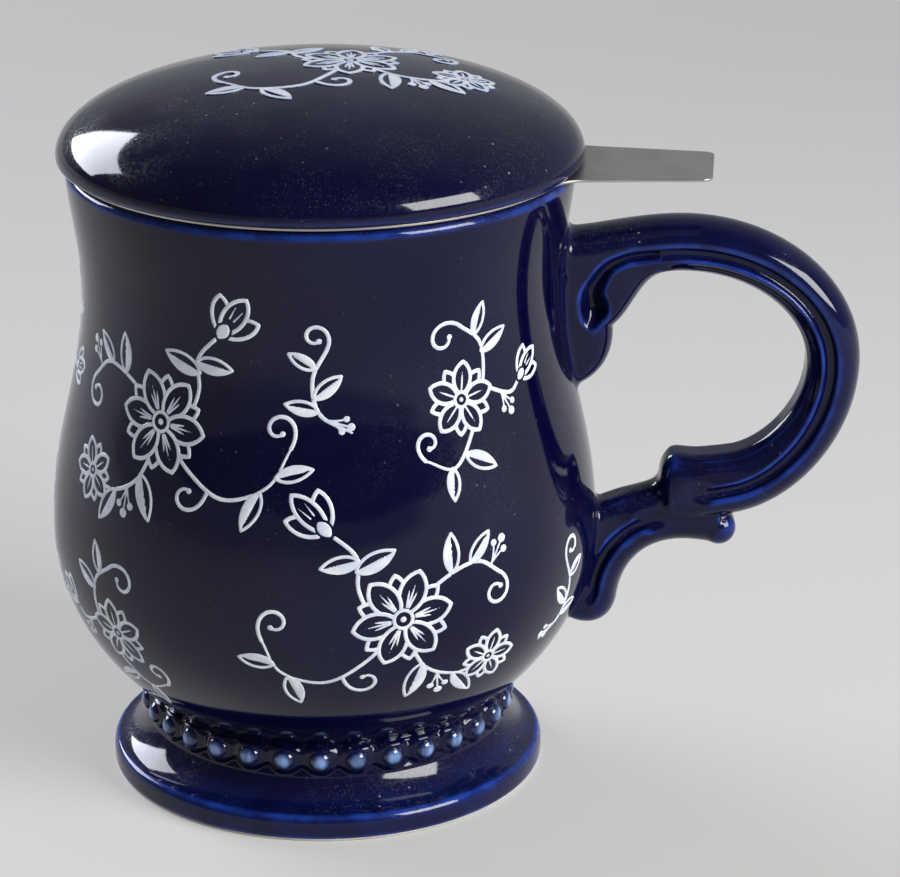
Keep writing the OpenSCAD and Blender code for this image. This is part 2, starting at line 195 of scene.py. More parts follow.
class Studio(bpy.types.PropertyGroup):
    # The paper's own light is a painted glow, seen by the camera and in reflections: paler near the
    # mug, darker far behind, and painted shade at the front left.
    painted_glow_near: colour("Near paper", (0.84, 0.835, 0.815), "The paper's own light near the mug")
    painted_glow_far: colour("Far paper", (0.46, 0.458, 0.452), "The paper's own light far behind")
    painted_shade_front: colour("Front paper", (0.34, 0.34, 0.35), "The paper's own light, front left")
    floor_grey: colour("Floor", (0.61, 0.603, 0.588), "The floor's colour")
    room_dark: colour("Room", (0.11, 0.11, 0.12), "The room in front and overhead")
    room_pale: colour("Back wall", (0.34, 0.35, 0.37), "The room behind, towards the handle")
    left_glow: FloatProperty(
        name="Left box", description="Brightness of the soft box at the left", default=11.8
    )
    right_glow: FloatProperty(
        name="Right box", description="Brightness of the soft box at the right", default=17.0
    )


SETTINGS = {
    "bowl": BowlSizes,
    "foot": FootSizes,
    "handle": HandleSizes,
    "lid": LidSizes,
    "infuser": InfuserSizes,
    "slip": SlipSizes,
    "finish": Finishes,
    "studio": Studio,
}


class MugSettings(bpy.types.PropertyGroup):
    """Every size and colour of the mug, by piece."""

    __annotations__ = {name: PointerProperty(type=group) for name, group in SETTINGS.items()}


def in_mm(group):
    """A group's values by name, with its lengths in millimetres."""
    values = {}
    for prop in group.bl_rna.properties:
        if prop.identifier in ("rna_type", "name"):
            continue
        value = getattr(group, prop.identifier)
        values[prop.identifier] = value / MM if prop.unit == "LENGTH" else value
    return SimpleNamespace(**values)


def settings():
    """All settings, with the places that follow from them."""
    mug = bpy.context.scene.tea_mug
    s = SimpleNamespace(**{name: in_mm(getattr(mug, name)) for name in SETTINGS})
    b, f, h, lid, i = s.bowl, s.foot, s.handle, s.lid, s.infuser
    b.belly_r, b.waist_r, b.rim_r = b.belly_d / 2, b.waist_d / 2, b.rim_d / 2
    b.waist_z = b.height - b.waist_drop
    b.lip_z = b.height - b.lip_r
    b.floor_z = b.seat_z + b.floor_t
    f.foot_r, f.band_r = f.foot_d / 2, f.band_d / 2
    f.recess_r = f.band_r - f.band_wall
    f.bead_r = f.bead_d / 2
    f.collar_r = f.bead_r + f.bead_collar
    f.bead_z = f.foot_h + f.collar_r + 0.15
    h.half_w = h.width / 2
    h.loop_top_z = b.height - h.loop_drop
    h.loop_mid_z = h.loop_top_z - h.loop_rise
    h.crest_x = b.belly_r + 14.7
    h.thumb_x = b.belly_r + 13
    h.knob_x = b.belly_r + 22.6
    h.knob_low_z = h.thumb_z - 4.7
    h.core_x = b.waist_r - 7
    i.basket_r = b.waist_r - b.wall - i.basket_gap
    i.wall_r = i.basket_r - i.sheet_t
    i.base_r = i.wall_r - i.sheet_t
    i.collar_z = b.height - i.collar_h
    i.flange_r = b.rim_r - i.flange_inset
    i.flange_top_z = b.height + i.flange_t
    lid.r = b.rim_r + lid.overhang
    lid.wide_z = lid.seat_z + lid.edge_h
    lid.dome_h = lid.top_z - lid.wide_z
    lid.ring_out_r = i.wall_r - lid.ring_gap
    lid.ring_in_r = lid.ring_out_r - lid.ring_t
    return s


# ---- Curves ----


def bezier(p, n):
    """n + 1 points of a cubic curve."""
    p = np.asarray(p, float)
    t = np.linspace(0, 1, n + 1)[:, None]
    s = 1 - t
    return s**3 * p[0] + 3 * s * s * t * p[1] + 3 * s * t * t * p[2] + t**3 * p[3]


def chain(start, *curves):
    """A row of points through cubic curves, each given by its next three points and its steps."""
    out = [[start]]
    for *rest, n in curves:
        out.append(bezier([start, *rest], n)[1:])
        start = rest[-1]
    return np.vstack(out)


def spline(points, n=12):
    """A smooth row of points through the given ones."""
    p = np.asarray(points, float)
    p = np.vstack([2 * p[0] - p[1], p, 2 * p[-1] - p[-2]])
    t = (np.arange(n) / n)[:, None]
    out = []
    for a, b, c, d in zip(p, p[1:], p[2:], p[3:]):
        out.append(0.5 * (2 * b + (c - a) * t + (2 * a - 5 * b + 4 * c - d) * t**2
                          + (3 * b - a - 3 * c + d) * t**3))
    return np.vstack([*out, p[-2:-1]])


def arc(centre, rx, ry, start, end, n):
    """Points of an elliptic arc, with its angles in degrees."""
    a = np.radians(np.linspace(start, end, n + 1))
    return np.column_stack([centre[0] + rx * np.cos(a), centre[1] + ry * np.sin(a)])


def cylindrical(r, a, z):
    """Rows of (x, y, z) at a radius, an angle and a height, each a number or an array."""
    return np.stack(np.broadcast_arrays(r * np.cos(a), r * np.sin(a), z), -1).reshape(-1, 3)


def directions(p):
    """Unit direction along a row of points at each point."""
    d = np.empty_like(p)
    d[1:-1] = p[2:] - p[:-2]
    d[0], d[-1] = p[1] - p[0], p[-1] - p[-2]
    return d / np.linalg.norm(d, axis=1)[:, None]


def inset(p, w):
    """The row of points moved sideways by w, to the left of its direction."""
    d = directions(p)
    return p + w * np.column_stack([-d[:, 1], d[:, 0]])


def fade(x, a, b):
    """0 before a, 1 after b, and a smooth step between."""
    s = np.clip((np.asarray(x, float) - a) / (b - a), 0, 1)
    return s * s * (3 - 2 * s)


def rounded(points, radius, steps=5, sharp=12):
    """The row of points with its sharp corners rounded, each back to at most radius."""
    p = np.asarray(points, float)
    out = [p[0]]
    for i in range(1, len(p) - 1):
        before, after = p[i - 1] - p[i], p[i + 1] - p[i]
        la, lb = np.linalg.norm(before), np.linalg.norm(after)
        turn = 180 - math.degrees(math.acos(np.clip(before @ after / (la * lb), -1, 1)))
        if turn < sharp:
            out.append(p[i])
            continue
        back = min(radius, 0.45 * la, 0.45 * lb)
        a, b = p[i] + before / la * back, p[i] + after / lb * back
        for t in np.linspace(0, 1, steps + 1):
            out.append((1 - t) ** 2 * a + 2 * t * (1 - t) * p[i] + t * t * b)
    out.append(p[-1])
    return np.array(out)


def profile_edge(p, low, high):
    """How sharply a turned profile bends outwards at each point, from 0 to 1."""
    d = np.diff(p, axis=0)
    step = np.maximum(np.linalg.norm(d, axis=1), TINY)
    turn = np.zeros(len(p))
    cross = d[:-1, 0] * d[1:, 1] - d[:-1, 1] * d[1:, 0]
    dot = (d[:-1] * d[1:]).sum(1)
    turn[1:-1] = np.arctan2(cross, dot) / (0.5 * (step[:-1] + step[1:]))
    at = np.concatenate([[0], np.cumsum(step)])
    spread = np.exp(-(((at[:, None] - at[None]) / 0.45) ** 2))
    weight = spread * np.gradient(at)[None]
    return fade((weight * np.maximum(turn, 0)[None]).sum(1) / weight.sum(1), low, high)


# ---- Meshes ----


class Solid:
    """Vertices, faces and the edge mark of one piece, gathered part by part."""

    def __init__(self):
        self.verts, self.faces, self.marks, self.count = [], [], [], 0

    def add(self, verts, faces, mark=None):
        """Adds a part. faces is a list of rows of indices into verts."""
        verts = np.asarray(verts, float)
        self.verts.append(verts)
        self.faces += [[j + self.count for j in f] for f in faces]
        self.marks.append(np.zeros(len(verts)) if mark is None else np.asarray(mark, float))
        self.count += len(verts)
        return self

    def mesh(self, name):
        """The gathered parts as one Blender mesh, in metres, with the mark as its edge."""
        mesh = bpy.data.meshes.new(name)
        verts = np.vstack(self.verts) * MM
        mesh.from_pydata(verts.tolist(), [], self.faces)
        mesh.attributes.new("edge", "FLOAT", "POINT").data.foreach_set(
            "value", np.concatenate(self.marks).astype(np.float32)
        )
        return mesh


def lathe(profile, steps, mark=None, closed=False):
    """A profile of (radius, height) rows turned round the axis. Rows on the axis are poles."""
    p = np.asarray(profile, float)
    a = 2 * math.pi * np.arange(steps) / steps
    verts, marks, rings = [], [], []
    for k, (r, z) in enumerate(p):
        start = len(verts)
        if r < TINY:
            verts.append((0, 0, z))
            rings.append([start] * steps)
        else:
            verts += zip(r * np.cos(a), r * np.sin(a), np.full(steps, z))
            rings.append(list(range(start, start + steps)))
        marks += [0.0 if mark is None else mark[k]] * (len(verts) - start)
    if closed:
        rings.append(rings[0])
    faces = []
    for low, high in zip(rings, rings[1:]):
        for i in range(steps):
            j = (i + 1) % steps
            face = [low[i], low[j], high[j], high[i]]
            faces.append([v for k, v in enumerate(face) if v != face[k - 1]])
    return verts, faces, marks


def grid_faces(rows, columns, wrap=False):
    """Quads of a grid of rows x columns vertices, joined round its columns where wrap."""
    faces = []
    for low in range(0, (rows - 1) * columns, columns):
        high = low + columns
        for c in range(columns if wrap else columns - 1):
            d = (c + 1) % columns
            faces.append([low + c, low + d, high + d, high + c])
    return faces


def loft(sections):
    """A solid through a row of closed sections, shut by fans at its ends."""
    rings, n = len(sections), len(sections[0])
    verts = np.vstack([*sections, sections[0].mean(0), sections[-1].mean(0)])
    faces = grid_faces(rings, n, wrap=True)
    hub, last = rings * n, (rings - 1) * n
    for i in range(n):
        j = (i + 1) % n
        faces += [[hub, j, i], [hub + 1, last + i, last + j]]
    return verts, faces


def new_object(name, data):
    """An object of some data, in the scene."""
    made = bpy.data.objects.new(name, data)
    bpy.context.scene.collection.objects.link(made)
    return made


def place(name, shape, body, slot, cad_node, smooth=True):
    """Makes a piece of a mesh or a Solid: finished, on its body, and standing for a CAD node."""
    mesh = shape.mesh(name) if isinstance(shape, Solid) else shape
    piece = new_object(name, mesh)
    mesh.materials.clear()
    mesh.materials.append(materials()[slot])
    if smooth:
        mesh.shade_smooth()
    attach(piece, body)
    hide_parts(cad_node)


def place_turned(name, profile, mark, body, slot, cad_node, steps=288, closed=True):
    """Makes a piece of a profile turned round the axis."""
    place(name, Solid().add(*lathe(profile, steps, mark, closed)), body, slot, cad_node)


# ---- Materials ----


def feed(tree, made, inputs):
    """Sets the inputs of a node by name, or links those that are given a socket."""
    for name, value in inputs.items():
        if isinstance(value, bpy.types.NodeSocket):
            tree.links.new(value, made.inputs[name])
        else:
            made.inputs[name].default_value = value


def node(tree, kind, inputs=None, **fields):
    """Adds a shader node with its fields and inputs."""
    made = tree.nodes.new("ShaderNode" + kind)
    for field, value in fields.items():
        setattr(made, field, value)
    feed(tree, made, inputs or {})
    return made


def math_node(tree, operation, a, b, clamp=False):
    """The result of a Math node."""
    return node(tree, "Math", {0: a, 1: b}, operation=operation, use_clamp=clamp).outputs[0]


def times(tree, a, b, clamp=False):
    """The product of two values."""
    return math_node(tree, "MULTIPLY", a, b, clamp)


def plus(tree, a, b, clamp=False):
    """The sum of two values."""
    return math_node(tree, "ADD", a, b, clamp)


def mix_colour(tree, factor, a, b):
    """Colour a where factor is 0 and b where it is 1."""
    made = node(tree, "Mix", {0: factor, 6: a, 7: b}, data_type="RGBA")
    return made.outputs[2]


def ramp(tree, value, low, high, to_low=0.0, to_high=1.0):
    """Value mapped from low..high to to_low..to_high, with smooth ends."""
    inputs = {"Value": value, 1: low, 2: high, 3: to_low, 4: to_high}
    return node(tree, "MapRange", inputs, interpolation_type="SMOOTHSTEP").outputs[0]


def noise(tree, vector, scale, detail):
    """The value of a Noise texture, with its scale in features per metre."""
    return node(tree, "TexNoise", {"Vector": vector, "Scale": scale, "Detail": detail}).outputs[0]


def rgba(rgb):
    """A colour socket's value of three numbers."""
    return (*rgb, 1.0)


def new_group(name, inputs, outputs):
    """An empty shader node group with named sockets, and its input and output nodes."""
    tree = bpy.data.node_groups.new(name, "ShaderNodeTree")
    for direction, sockets in (("INPUT", inputs), ("OUTPUT", outputs)):
        for socket_name, kind in sockets:
            tree.interface.new_socket(
                socket_name, in_out=direction, socket_type="NodeSocket" + kind)
    return tree, tree.nodes.new("NodeGroupInput"), tree.nodes.new("NodeGroupOutput")


def glaze_break_group():
    """Glaze that lies thick and dark, and breaks paler and uneven where the mark is high."""
    tree, i, o = new_group(
        "Glaze break",
        [("Vector", "Vector"), ("Edge", "Float"), ("Streak", "Float"), ("Deep", "Color"),
         ("Thin", "Color")],
        [("Color", "Color"), ("Roughness", "Float"), ("Height", "Float")],
    )
    vector = i.outputs["Vector"]
    cloud = noise(tree, vector, 38.0, 2.0)
    grain = noise(tree, vector, 2600.0, 2.0)
    uneven = ramp(tree, noise(tree, vector, i.outputs["Streak"], 3.0), 0.35, 0.65, 0.45, 1.15)
    thin = times(tree, i.outputs["Edge"], uneven, clamp=True)
    tone = ramp(tree, cloud, 0.3, 0.7, 0.0, 0.022)
    speckle = ramp(tree, grain, 0.55, 0.8, 0.0, 0.02)
    share = plus(tree, thin, plus(tree, tone, speckle), clamp=True)
    peel = times(tree, noise(tree, vector, 520.0, 1.0), 0.022)
    pin = times(tree, noise(tree, vector, 1700.0, 1.0), 0.012)
    feed(tree, o, {
        "Color": mix_colour(tree, share, i.outputs["Deep"], i.outputs["Thin"]),
        "Roughness": ramp(tree, grain, 0.35, 0.75, 0.05, 0.10),
        "Height": plus(tree, noise(tree, vector, 55.0, 1.0), plus(tree, peel, pin)),
    })
    return tree


def dust_group():
    """Fine pale dust that settles where a surface faces up, with a few larger specks."""
    tree, i, o = new_group(
        "Settled dust",
        [("Vector", "Vector"), ("Amount", "Float")],
        [("Mask", "Float"), ("Haze", "Float")],
    )
    vector, amount = i.outputs["Vector"], i.outputs["Amount"]
    facing = node(tree, "SeparateXYZ", {0: node(tree, "NewGeometry").outputs["Normal"]})
    up = ramp(tree, facing.outputs["Z"], -0.1, 0.75, 0.12, 1.0)
    patchy = ramp(tree, noise(tree, vector, 70.0, 3.0), 0.42, 0.64, 0.04, 1.0)
    masks = []
    for scale, rarity, size in ((2400.0, 0.55, 0.30), (760.0, 0.84, 0.22), (210.0, 0.965, 0.07)):
        cells = node(tree, "TexVoronoi", {"Vector": vector, "Scale": scale})
        here = node(tree, "SeparateXYZ", {0: cells.outputs["Color"]})
        rare = math_node(tree, "GREATER_THAN", here.outputs["X"], rarity)
        dot = ramp(tree, cells.outputs["Distance"], size, size * 0.4)
        masks.append(times(tree, rare, dot))
    powder, motes, specks = masks
    fine = plus(tree, times(tree, powder, 0.22), times(tree, motes, 0.55))
    total = plus(tree, times(tree, fine, patchy), specks)
    film = ramp(tree, noise(tree, vector, 1500.0, 3.0), 0.42, 0.62, 0.15, 1.0)
    mask = times(tree, times(tree, total, up), amount)
    haze = times(tree, times(tree, times(tree, patchy, film), up), amount)
    feed(tree, o, {"Mask": math_node(tree, "MINIMUM", mask, 1.0), "Haze": haze})
    return tree


def new_material(name):
    """A material with an object-space vector, its edge mark and a Principled shader."""
    made = bpy.data.materials.new(name)
    made.use_nodes = True
    tree = made.node_tree
    shader = tree.nodes["Principled BSDF"]
    vector = node(tree, "TexCoord").outputs["Object"]
    edge = node(tree, "Attribute", attribute_name="edge").outputs["Fac"]
    return made, tree, shader, vector, edge


def use_group(tree, group, inputs):
    """Places a node group in a material, with its own values."""
    made = tree.nodes.new("ShaderNodeGroup")
    made.node_tree = group
    feed(tree, made, inputs)
    return made.outputs


def bump(tree, height, distance):
    """A normal bent by a height, whose full step is distance in metres."""
    inputs = {"Height": height, "Distance": distance, "Strength": 1.0}
    return node(tree, "Bump", inputs).outputs[0]


def glaze(name, groups, deep, thin, streak, stretch, dust, swell, ior):
    """A glossy cobalt glaze over clay. Its streaks are drawn out upwards where stretch is low."""
    made, tree, shader, vector, edge = new_material(name)
    vector = node(tree, "Mapping", {"Vector": vector, "Scale": (1.0, 1.0, stretch)}).outputs[0]
    body = use_group(tree, groups.glaze_break, {
        "Vector": vector, "Edge": edge, "Streak": streak, "Deep": rgba(deep), "Thin": rgba(thin)})
    motes = use_group(tree, groups.dust, {"Vector": vector, "Amount": dust})
    lint = mix_colour(tree, motes["Mask"], body["Color"], (0.34, 0.35, 0.38, 1.0))
    matt = times(tree, motes["Mask"], 0.5)
    feed(tree, shader, {
        "Base Color": lint,
        "Roughness": plus(tree, body["Roughness"], matt, clamp=True),
        "Normal": bump(tree, body["Height"], swell),
        "IOR": ior,
        "Coat Weight": times(tree, motes["Haze"], 0.3),
        "Coat Roughness": 0.32,
    })
    return made


def slip_white(groups, finish):
    """White slip, thinner and bluer at the edge of a line, under the same gloss."""
    made, tree, shader, vector, edge = new_material("mug_slip")
    wash = noise(tree, vector, 260.0, 3.0)
    body = ramp(tree, edge, 0.0, 0.5)
    patch = ramp(tree, wash, 0.35, 0.6, 0.62, 1.0)
    cover = times(tree, body, patch, clamp=True)
    white = mix_colour(tree, cover, rgba(finish.slip_thin), rgba(finish.slip_white))
    motes = use_group(tree, groups.dust, {"Vector": vector, "Amount": 0.3})
    feed(tree, shader, {
        "Base Color": mix_colour(tree, motes["Mask"], white, (0.45, 0.45, 0.45, 1.0)),
        "Roughness": ramp(tree, wash, 0.3, 0.7, 0.16, 0.30),
        "Normal": bump(tree, wash, 0.00006),
    })
    return made


def clay_bare(finish):
    """Unglazed fired clay: matt, granular, a little stained."""
    made, tree, shader, vector, _ = new_material("mug_clay")
    grain = noise(tree, vector, 1800.0, 4.0)
    stain = noise(tree, vector, 120.0, 3.0)
    dark = tuple(0.55 * c for c in finish.clay)
    share = ramp(tree, stain, 0.35, 0.75, 0.0, 0.6)
    feed(tree, shader, {
        "Base Color": mix_colour(tree, share, rgba(finish.clay), rgba(dark)),
        "Roughness": ramp(tree, grain, 0.3, 0.7, 0.65, 0.9),
        "Normal": bump(tree, grain, 0.00012),
    })
    return made


def steel_satin(groups, finish):
    """Satin steel: a fine rolled grain, a matt bloom, faint tarnish and dust."""
    made, tree, shader, vector, _ = new_material("mug_steel")
    rolled = node(tree, "Mapping", {"Vector": vector, "Scale": (60.0, 1400.0, 60.0)})
    grain = noise(tree, rolled.outputs[0], 1.0, 5.0)
    matt = noise(tree, vector, 3000.0, 3.0)
    cloud = noise(tree, vector, 90.0, 3.0)
    dull = tuple(0.62 * c for c in finish.steel)
    share = ramp(tree, cloud, 0.35, 0.7, 0.0, 0.35)
    base = mix_colour(tree, share, rgba(finish.steel), rgba(dull))
    motes = use_group(tree, groups.dust, {"Vector": vector, "Amount": 0.5})
    feed(tree, shader, {
        "Base Color": mix_colour(tree, motes["Mask"], base, (0.7, 0.7, 0.7, 1.0)),
        "Roughness": plus(tree, ramp(tree, grain, 0.3, 0.7, 0.26, 0.40), 0.04),
        "Normal": bump(tree, plus(tree, grain, times(tree, matt, 0.8)), 0.00002),
        "Metallic": 1.0,
    })
    return made


MADE = {}


def materials():
    """The finishes by slot, made once."""
    if not MADE:
        groups = SimpleNamespace(glaze_break=glaze_break_group(), dust=dust_group())
        f = settings().finish
        MADE.update(
            cobalt_glaze=glaze("mug_cobalt", groups, f.deep_cobalt, f.thin_cobalt, streak=210.0,
                               stretch=1.0, dust=1.0, swell=0.00016, ior=1.37),
            bead_glaze=glaze("mug_bead", groups, f.bead_dark, f.bead_pale, streak=900.0,
                             stretch=0.3, dust=0.3, swell=0.0001, ior=1.55),
            white_slip=slip_white(groups, f),
            bare_clay=clay_bare(f),
            satin_steel=steel_satin(groups, f),
        )
    return MADE


# ---- Bowl, band and foot ----


def bowl_outline(s):
    """Outside of the bowl, from its seat on the band to the side of the lip."""
    b, f = s.bowl, s.foot
    rise, flank = b.belly_z - b.seat_z, b.waist_z - b.belly_z
    return chain(
        (f.band_r + 0.2, b.seat_z),
        ((f.band_r + 3.2, b.seat_z + 2.6), (b.belly_r, b.belly_z - 0.59 * rise),
         (b.belly_r, b.belly_z), 72),
        ((b.belly_r, b.belly_z + 0.38 * flank), (b.waist_r, b.waist_z - 0.34 * flank),
         (b.waist_r, b.waist_z), 64),
        ((b.waist_r, b.waist_z + 8.4), (b.rim_r - 0.45, b.lip_z - 6.2), (b.rim_r, b.lip_z), 40),
    )


def bowl_radius(s):
    """The bowl's outside radius at any height, as a function."""
    p = bowl_outline(s)
    return lambda z: np.interp(z, p[:, 1], p[:, 0])


class MUG_OT_bowl(bpy.types.Operator):
    """Turns the waisted bowl with its rolled lip, hollow and floor"""

    bl_idname = "mug.bowl"
    bl_label = "Bowl"

    def execute(self, context):
        s = settings()
        b = s.bowl
        outside = bowl_outline(s)
        fillet, blunt = 3.0, 0.4
        middle_r = s.foot.band_r - 6
        hollow = inset(outside, b.wall)
        hollow = hollow[hollow[:, 1] > b.floor_z + fillet][::-1]
        low = hollow[-1]
        lip_in = b.wall - b.lip_r
        profile = np.vstack([
            [(0, b.seat_z), (middle_r, b.seat_z)],
            outside,
            arc((b.rim_r - b.lip_r, b.lip_z), b.lip_r, b.lip_r, 6, 90, 14),
            arc((b.rim_r - b.lip_r - blunt, b.lip_z), lip_in - blunt, b.lip_r, 90, 174, 14),
            hollow,
            arc((low[0] - fillet, b.floor_z + fillet), fillet, fillet, -6, -90, 12),
            [(middle_r, b.floor_z), (0, b.floor_z)],
        ])
        # Painted shade: the glaze's pale break over the lip is real, but it is left off the lip's
        # top under the lid, so that it stays deep and dark where the lid shades it.
        painted_shade_under_lid = fade(profile[:, 1], b.lip_z + 0.5, b.lip_z + 1.5)
        mark = profile_edge(profile, 0.25, 0.7) * (1 - painted_shade_under_lid)
        place_turned("bowl", profile, mark, "mug", "cobalt_glaze", "mug_bowl", closed=False)
        return {"FINISHED"}


def collar_band(s, first, pitch):
    """The band behind the beads: its collars meet, and its glaze pools where it joins the foot."""
    f = s.foot
    rows, columns = 46, f.bead_count * 24
    between, soft = 0.5, 0.15  # how gently two collars meet, and the pool meets them
    skirt, pool_out, dish_in, groove_in = 0.25, 0.7, 0.35, 0.5
    low, high = f.foot_h - 0.6, s.bowl.seat_z + 0.3
    turn = 2 * math.pi * np.arange(columns) / columns
    z = np.linspace(low, high, rows)
    off = (turn - first + pitch / 2) % pitch - pitch / 2
    across = off[None] * f.band_r
    up = z[:, None] - f.bead_z
    reach = np.hypot(across, up)
    near = np.hypot(pitch * f.band_r - np.abs(across), up)
    d = -between * np.log(np.exp(-reach / between) + np.exp(-near / between))
    collar = f.collar_out * np.sqrt(np.clip(1 - (d / (f.collar_r + skirt)) ** 2, 0, 1))
    pool = pool_out * (1 - fade(z, f.foot_h - 0.4, f.foot_h + 2.0))[:, None]
    collar = np.log(np.exp(collar / soft) + np.exp(pool / soft)) * soft
    dish = dish_in * fade(-d, -f.bead_r + 0.15, -f.bead_r + 0.8)
    groove = groove_in * fade(z, s.bowl.seat_z - 0.9, s.bowl.seat_z - 0.3)[:, None]
    inner = np.full((1, columns), f.recess_r)
    radius = np.vstack([inner, f.band_r + collar - dish - groove, inner])
    heights = np.concatenate([[low], z, [high]])[:, None]
    faces = grid_faces(rows + 2, columns, wrap=True)
    last = (rows + 1) * columns
    for i in range(columns):
        j = (i + 1) % columns
        faces.append([last + i, last + j, j, i])
    return Solid().add(cylindrical(radius, turn, heights), faces)


def bead_ring(f, first, pitch):
    """The round of beads, each a little flattened and palest on its crown."""
    beads, flat = Solid(), 0.78
    polar = np.radians(np.linspace(0, 100, 15))
    around = 2 * math.pi * np.arange(32) / 32
    n = len(around)
    for k in range(f.bead_count):
        a = first + pitch * k
        axis = np.array([math.cos(a), math.sin(a), 0])
        side = np.array([-math.sin(a), math.cos(a), 0])
        centre = axis * (f.band_r + f.bead_out) + np.array([0, 0, f.bead_z])
        verts, marks = [centre + axis * f.bead_r * flat], [1.0]
        for t in polar[1:]:
            for u in around:
                lean = math.cos(u) * side + np.array([0, 0, math.sin(u)])
                verts.append(centre + f.bead_r * (flat * math.cos(t) * axis + math.sin(t) * lean))
                marks.append(float(fade(-t, -0.9, -0.15)))
        faces = [[0, 1 + i, 1 + (i + 1) % n] for i in range(n)]
        faces += [[1 + v for v in q[::-1]] for q in grid_faces(len(polar) - 1, n, wrap=True)]
        beads.add(verts, faces, marks)
    return beads


class MUG_OT_bead_band(bpy.types.Operator):
    """Turns the band under the bowl, with a scalloped collar and a bead at each place"""

    bl_idname = "mug.bead_band"
    bl_label = "Bead band"

    def execute(self, context):
        s = settings()
        first = math.radians(-90 - 0.45)  # the bead nearest the front
        pitch = 2 * math.pi / s.foot.bead_count
        place("bead_collars", collar_band(s, first, pitch), "mug", "cobalt_glaze", "bead_band")
        place("beads", bead_ring(s.foot, first, pitch), "mug", "bead_glaze", "bead_band")
        return {"FINISHED"}


class MUG_OT_foot(bpy.types.Operator):
    """Turns the hollow foot plate and the bare ring that it stands on"""

    bl_idname = "mug.foot"
    bl_label = "Foot"

    def execute(self, context):
        s = settings()
        f = s.foot
        edge_r, edge_h, chamfer = 1.1, 1.9, 0.5
        plate_r = f.foot_r - edge_r
        ring_in = f.foot_r - chamfer - f.stand_ring
        profile = np.vstack([
            [(ring_in + 0.3, f.glaze_line)],
            [(f.foot_r - 0.75, f.glaze_line)],
            arc((f.foot_r - chamfer, f.glaze_line + 1.0), chamfer, 1.0, -75, 0, 8),
            arc((plate_r, f.plate_edge_h - edge_h), edge_r, edge_h, 8, 90, 14),
            bezier([(plate_r - 0.6, f.plate_edge_h + 0.05),
                    (plate_r - 2.75, f.plate_edge_h + 0.45),
                    (f.band_r + 1.5, f.foot_h - 1.8), (f.band_r + 0.4, f.foot_h + 0.3)], 40),
            [(f.band_r - 0.2, f.foot_h + 0.4), (f.recess_r, f.foot_h)],
            bezier([(f.recess_r, f.foot_h), (f.recess_r + 1, f.foot_h - 4),
                    (ring_in - 1, 4), (ring_in, 0.9)], 30)[1:],
        ])
        outer = fade(profile[:, 0], plate_r - 5, plate_r - 3)
        mark = 0.02 + outer * (0.1 + 0.82 * profile_edge(profile, 0.16, 0.95))
        place_turned("foot", profile, mark, "mug", "cobalt_glaze", "mug_foot")
        ring = rounded([
            (ring_in + 0.1, 1.2), (ring_in + 0.1, 0.3), (ring_in + 0.5, 0),
            (f.foot_r - 0.75, 0), (f.foot_r - 0.3, 0.35), (f.foot_r - 0.3, 1.2),
        ], 0.25)
        place_turned("stand_ring", ring, None, "mug", "bare_clay", "mug_foot")
        return {"FINISHED"}


# ---- Handle ----


def section(p, q, w, groove):
    """A closed section of the handle, from its crown at p towards the finger side at q.

    p and q are (x, z). Two ridges with a channel between them run along each side.
    """
    crown, ridge_a, ridge_b, finger = 3.9, 4.5, 7.0, 2.2
    depth = np.linalg.norm(q - p)
    d = (q - p) / depth
    a = np.radians(np.arange(0, 91, 7.5))
    half = np.vstack([
        np.column_stack([crown * (1 - np.cos(a)), w * np.sin(a)]),
        [(ridge_a, 0.985 * w), (ridge_a + 0.5, 0.97 * w - groove),
         (ridge_b - 0.7, 0.95 * w - groove), (ridge_b, 0.93 * w), (ridge_b + 0.6, 0.91 * w),
         (depth - finger, 0.84 * w), (depth - 0.35 * finger, 0.68 * w), (depth, 0.4 * w)],
    ])
    c = p + half[:, :1] * d
    front = np.column_stack([c[:, 0], -half[:, 1], c[:, 1]])
    back = np.column_stack([c[:, 0], half[:, 1], c[:, 1]])[:0:-1]
    return np.vstack([front, back])


def loop_sections(s):
    """The loop from its root over the crest to the thumb scroll, with the scroll's rounded end."""
    h, bx, top, mid = s.handle, s.bowl.belly_r, s.handle.loop_top_z, s.handle.loop_mid_z
    loop_x, root_x, cx, hz = bx + h.reach, s.bowl.waist_r - 2, h.crest_x, h.thumb_z
    crown = chain(
        (root_x, top - 2.5),
        ((root_x + 8, top - 2.2), (cx - 8, top), (cx, top), 36),
        ((cx + 18, top), (loop_x, mid + 15), (loop_x, mid), 72),
        ((loop_x, mid - 13.5), (bx + 38.2, hz + 5.3), (bx + 28.2, hz + 2), 56),
        ((bx + 23.5, hz + 0.5), (h.thumb_x + 5, hz + 0.2), (h.thumb_x + 1.3, hz), 32),
    )
    along = directions(crown)
    share = np.linspace(0, 1, len(crown))
    depth = (h.loop_depth + (h.thumb_depth - h.loop_depth) * fade(share, 0.55, 0.94)
             + 0.8 * fade(share, 0.92, 1))
    groove = h.groove * fade(share, 0.06, 0.2) * (1 - fade(share, 0.92, 0.97))
    loop = [section(p, p + k * np.array([d[1], -d[0]]), h.half_w, g)
            for p, d, k, g in zip(crown, along, depth, groove)]
    low = np.array([h.thumb_x + 1.2, hz])
    high = np.array([h.thumb_x + 0.6, hz + h.thumb_depth])
    middle = 0.5 * (low + high)
    nub, bulge = 0.45, 2.2
    for a in np.radians((20, 40, 58, 74, 88)):
        shrink = nub + (1 - nub) * math.cos(a)
        out = np.array([-bulge * math.sin(a), 0])
        loop.append(section(middle + shrink * (low - middle) + out,
                            middle + shrink * (high - middle) + out, shrink * h.half_w, 0))
    return loop


def lobe(s, edge, rise, wide, narrow):
    """A root lobe, from its free edge back into the bowl's wall."""
    widths = np.linspace(wide, narrow, len(edge))
    return [section(p, np.array([s.handle.core_x, p[1] + rise]), w, 0)
            for p, w in zip(edge, widths)]


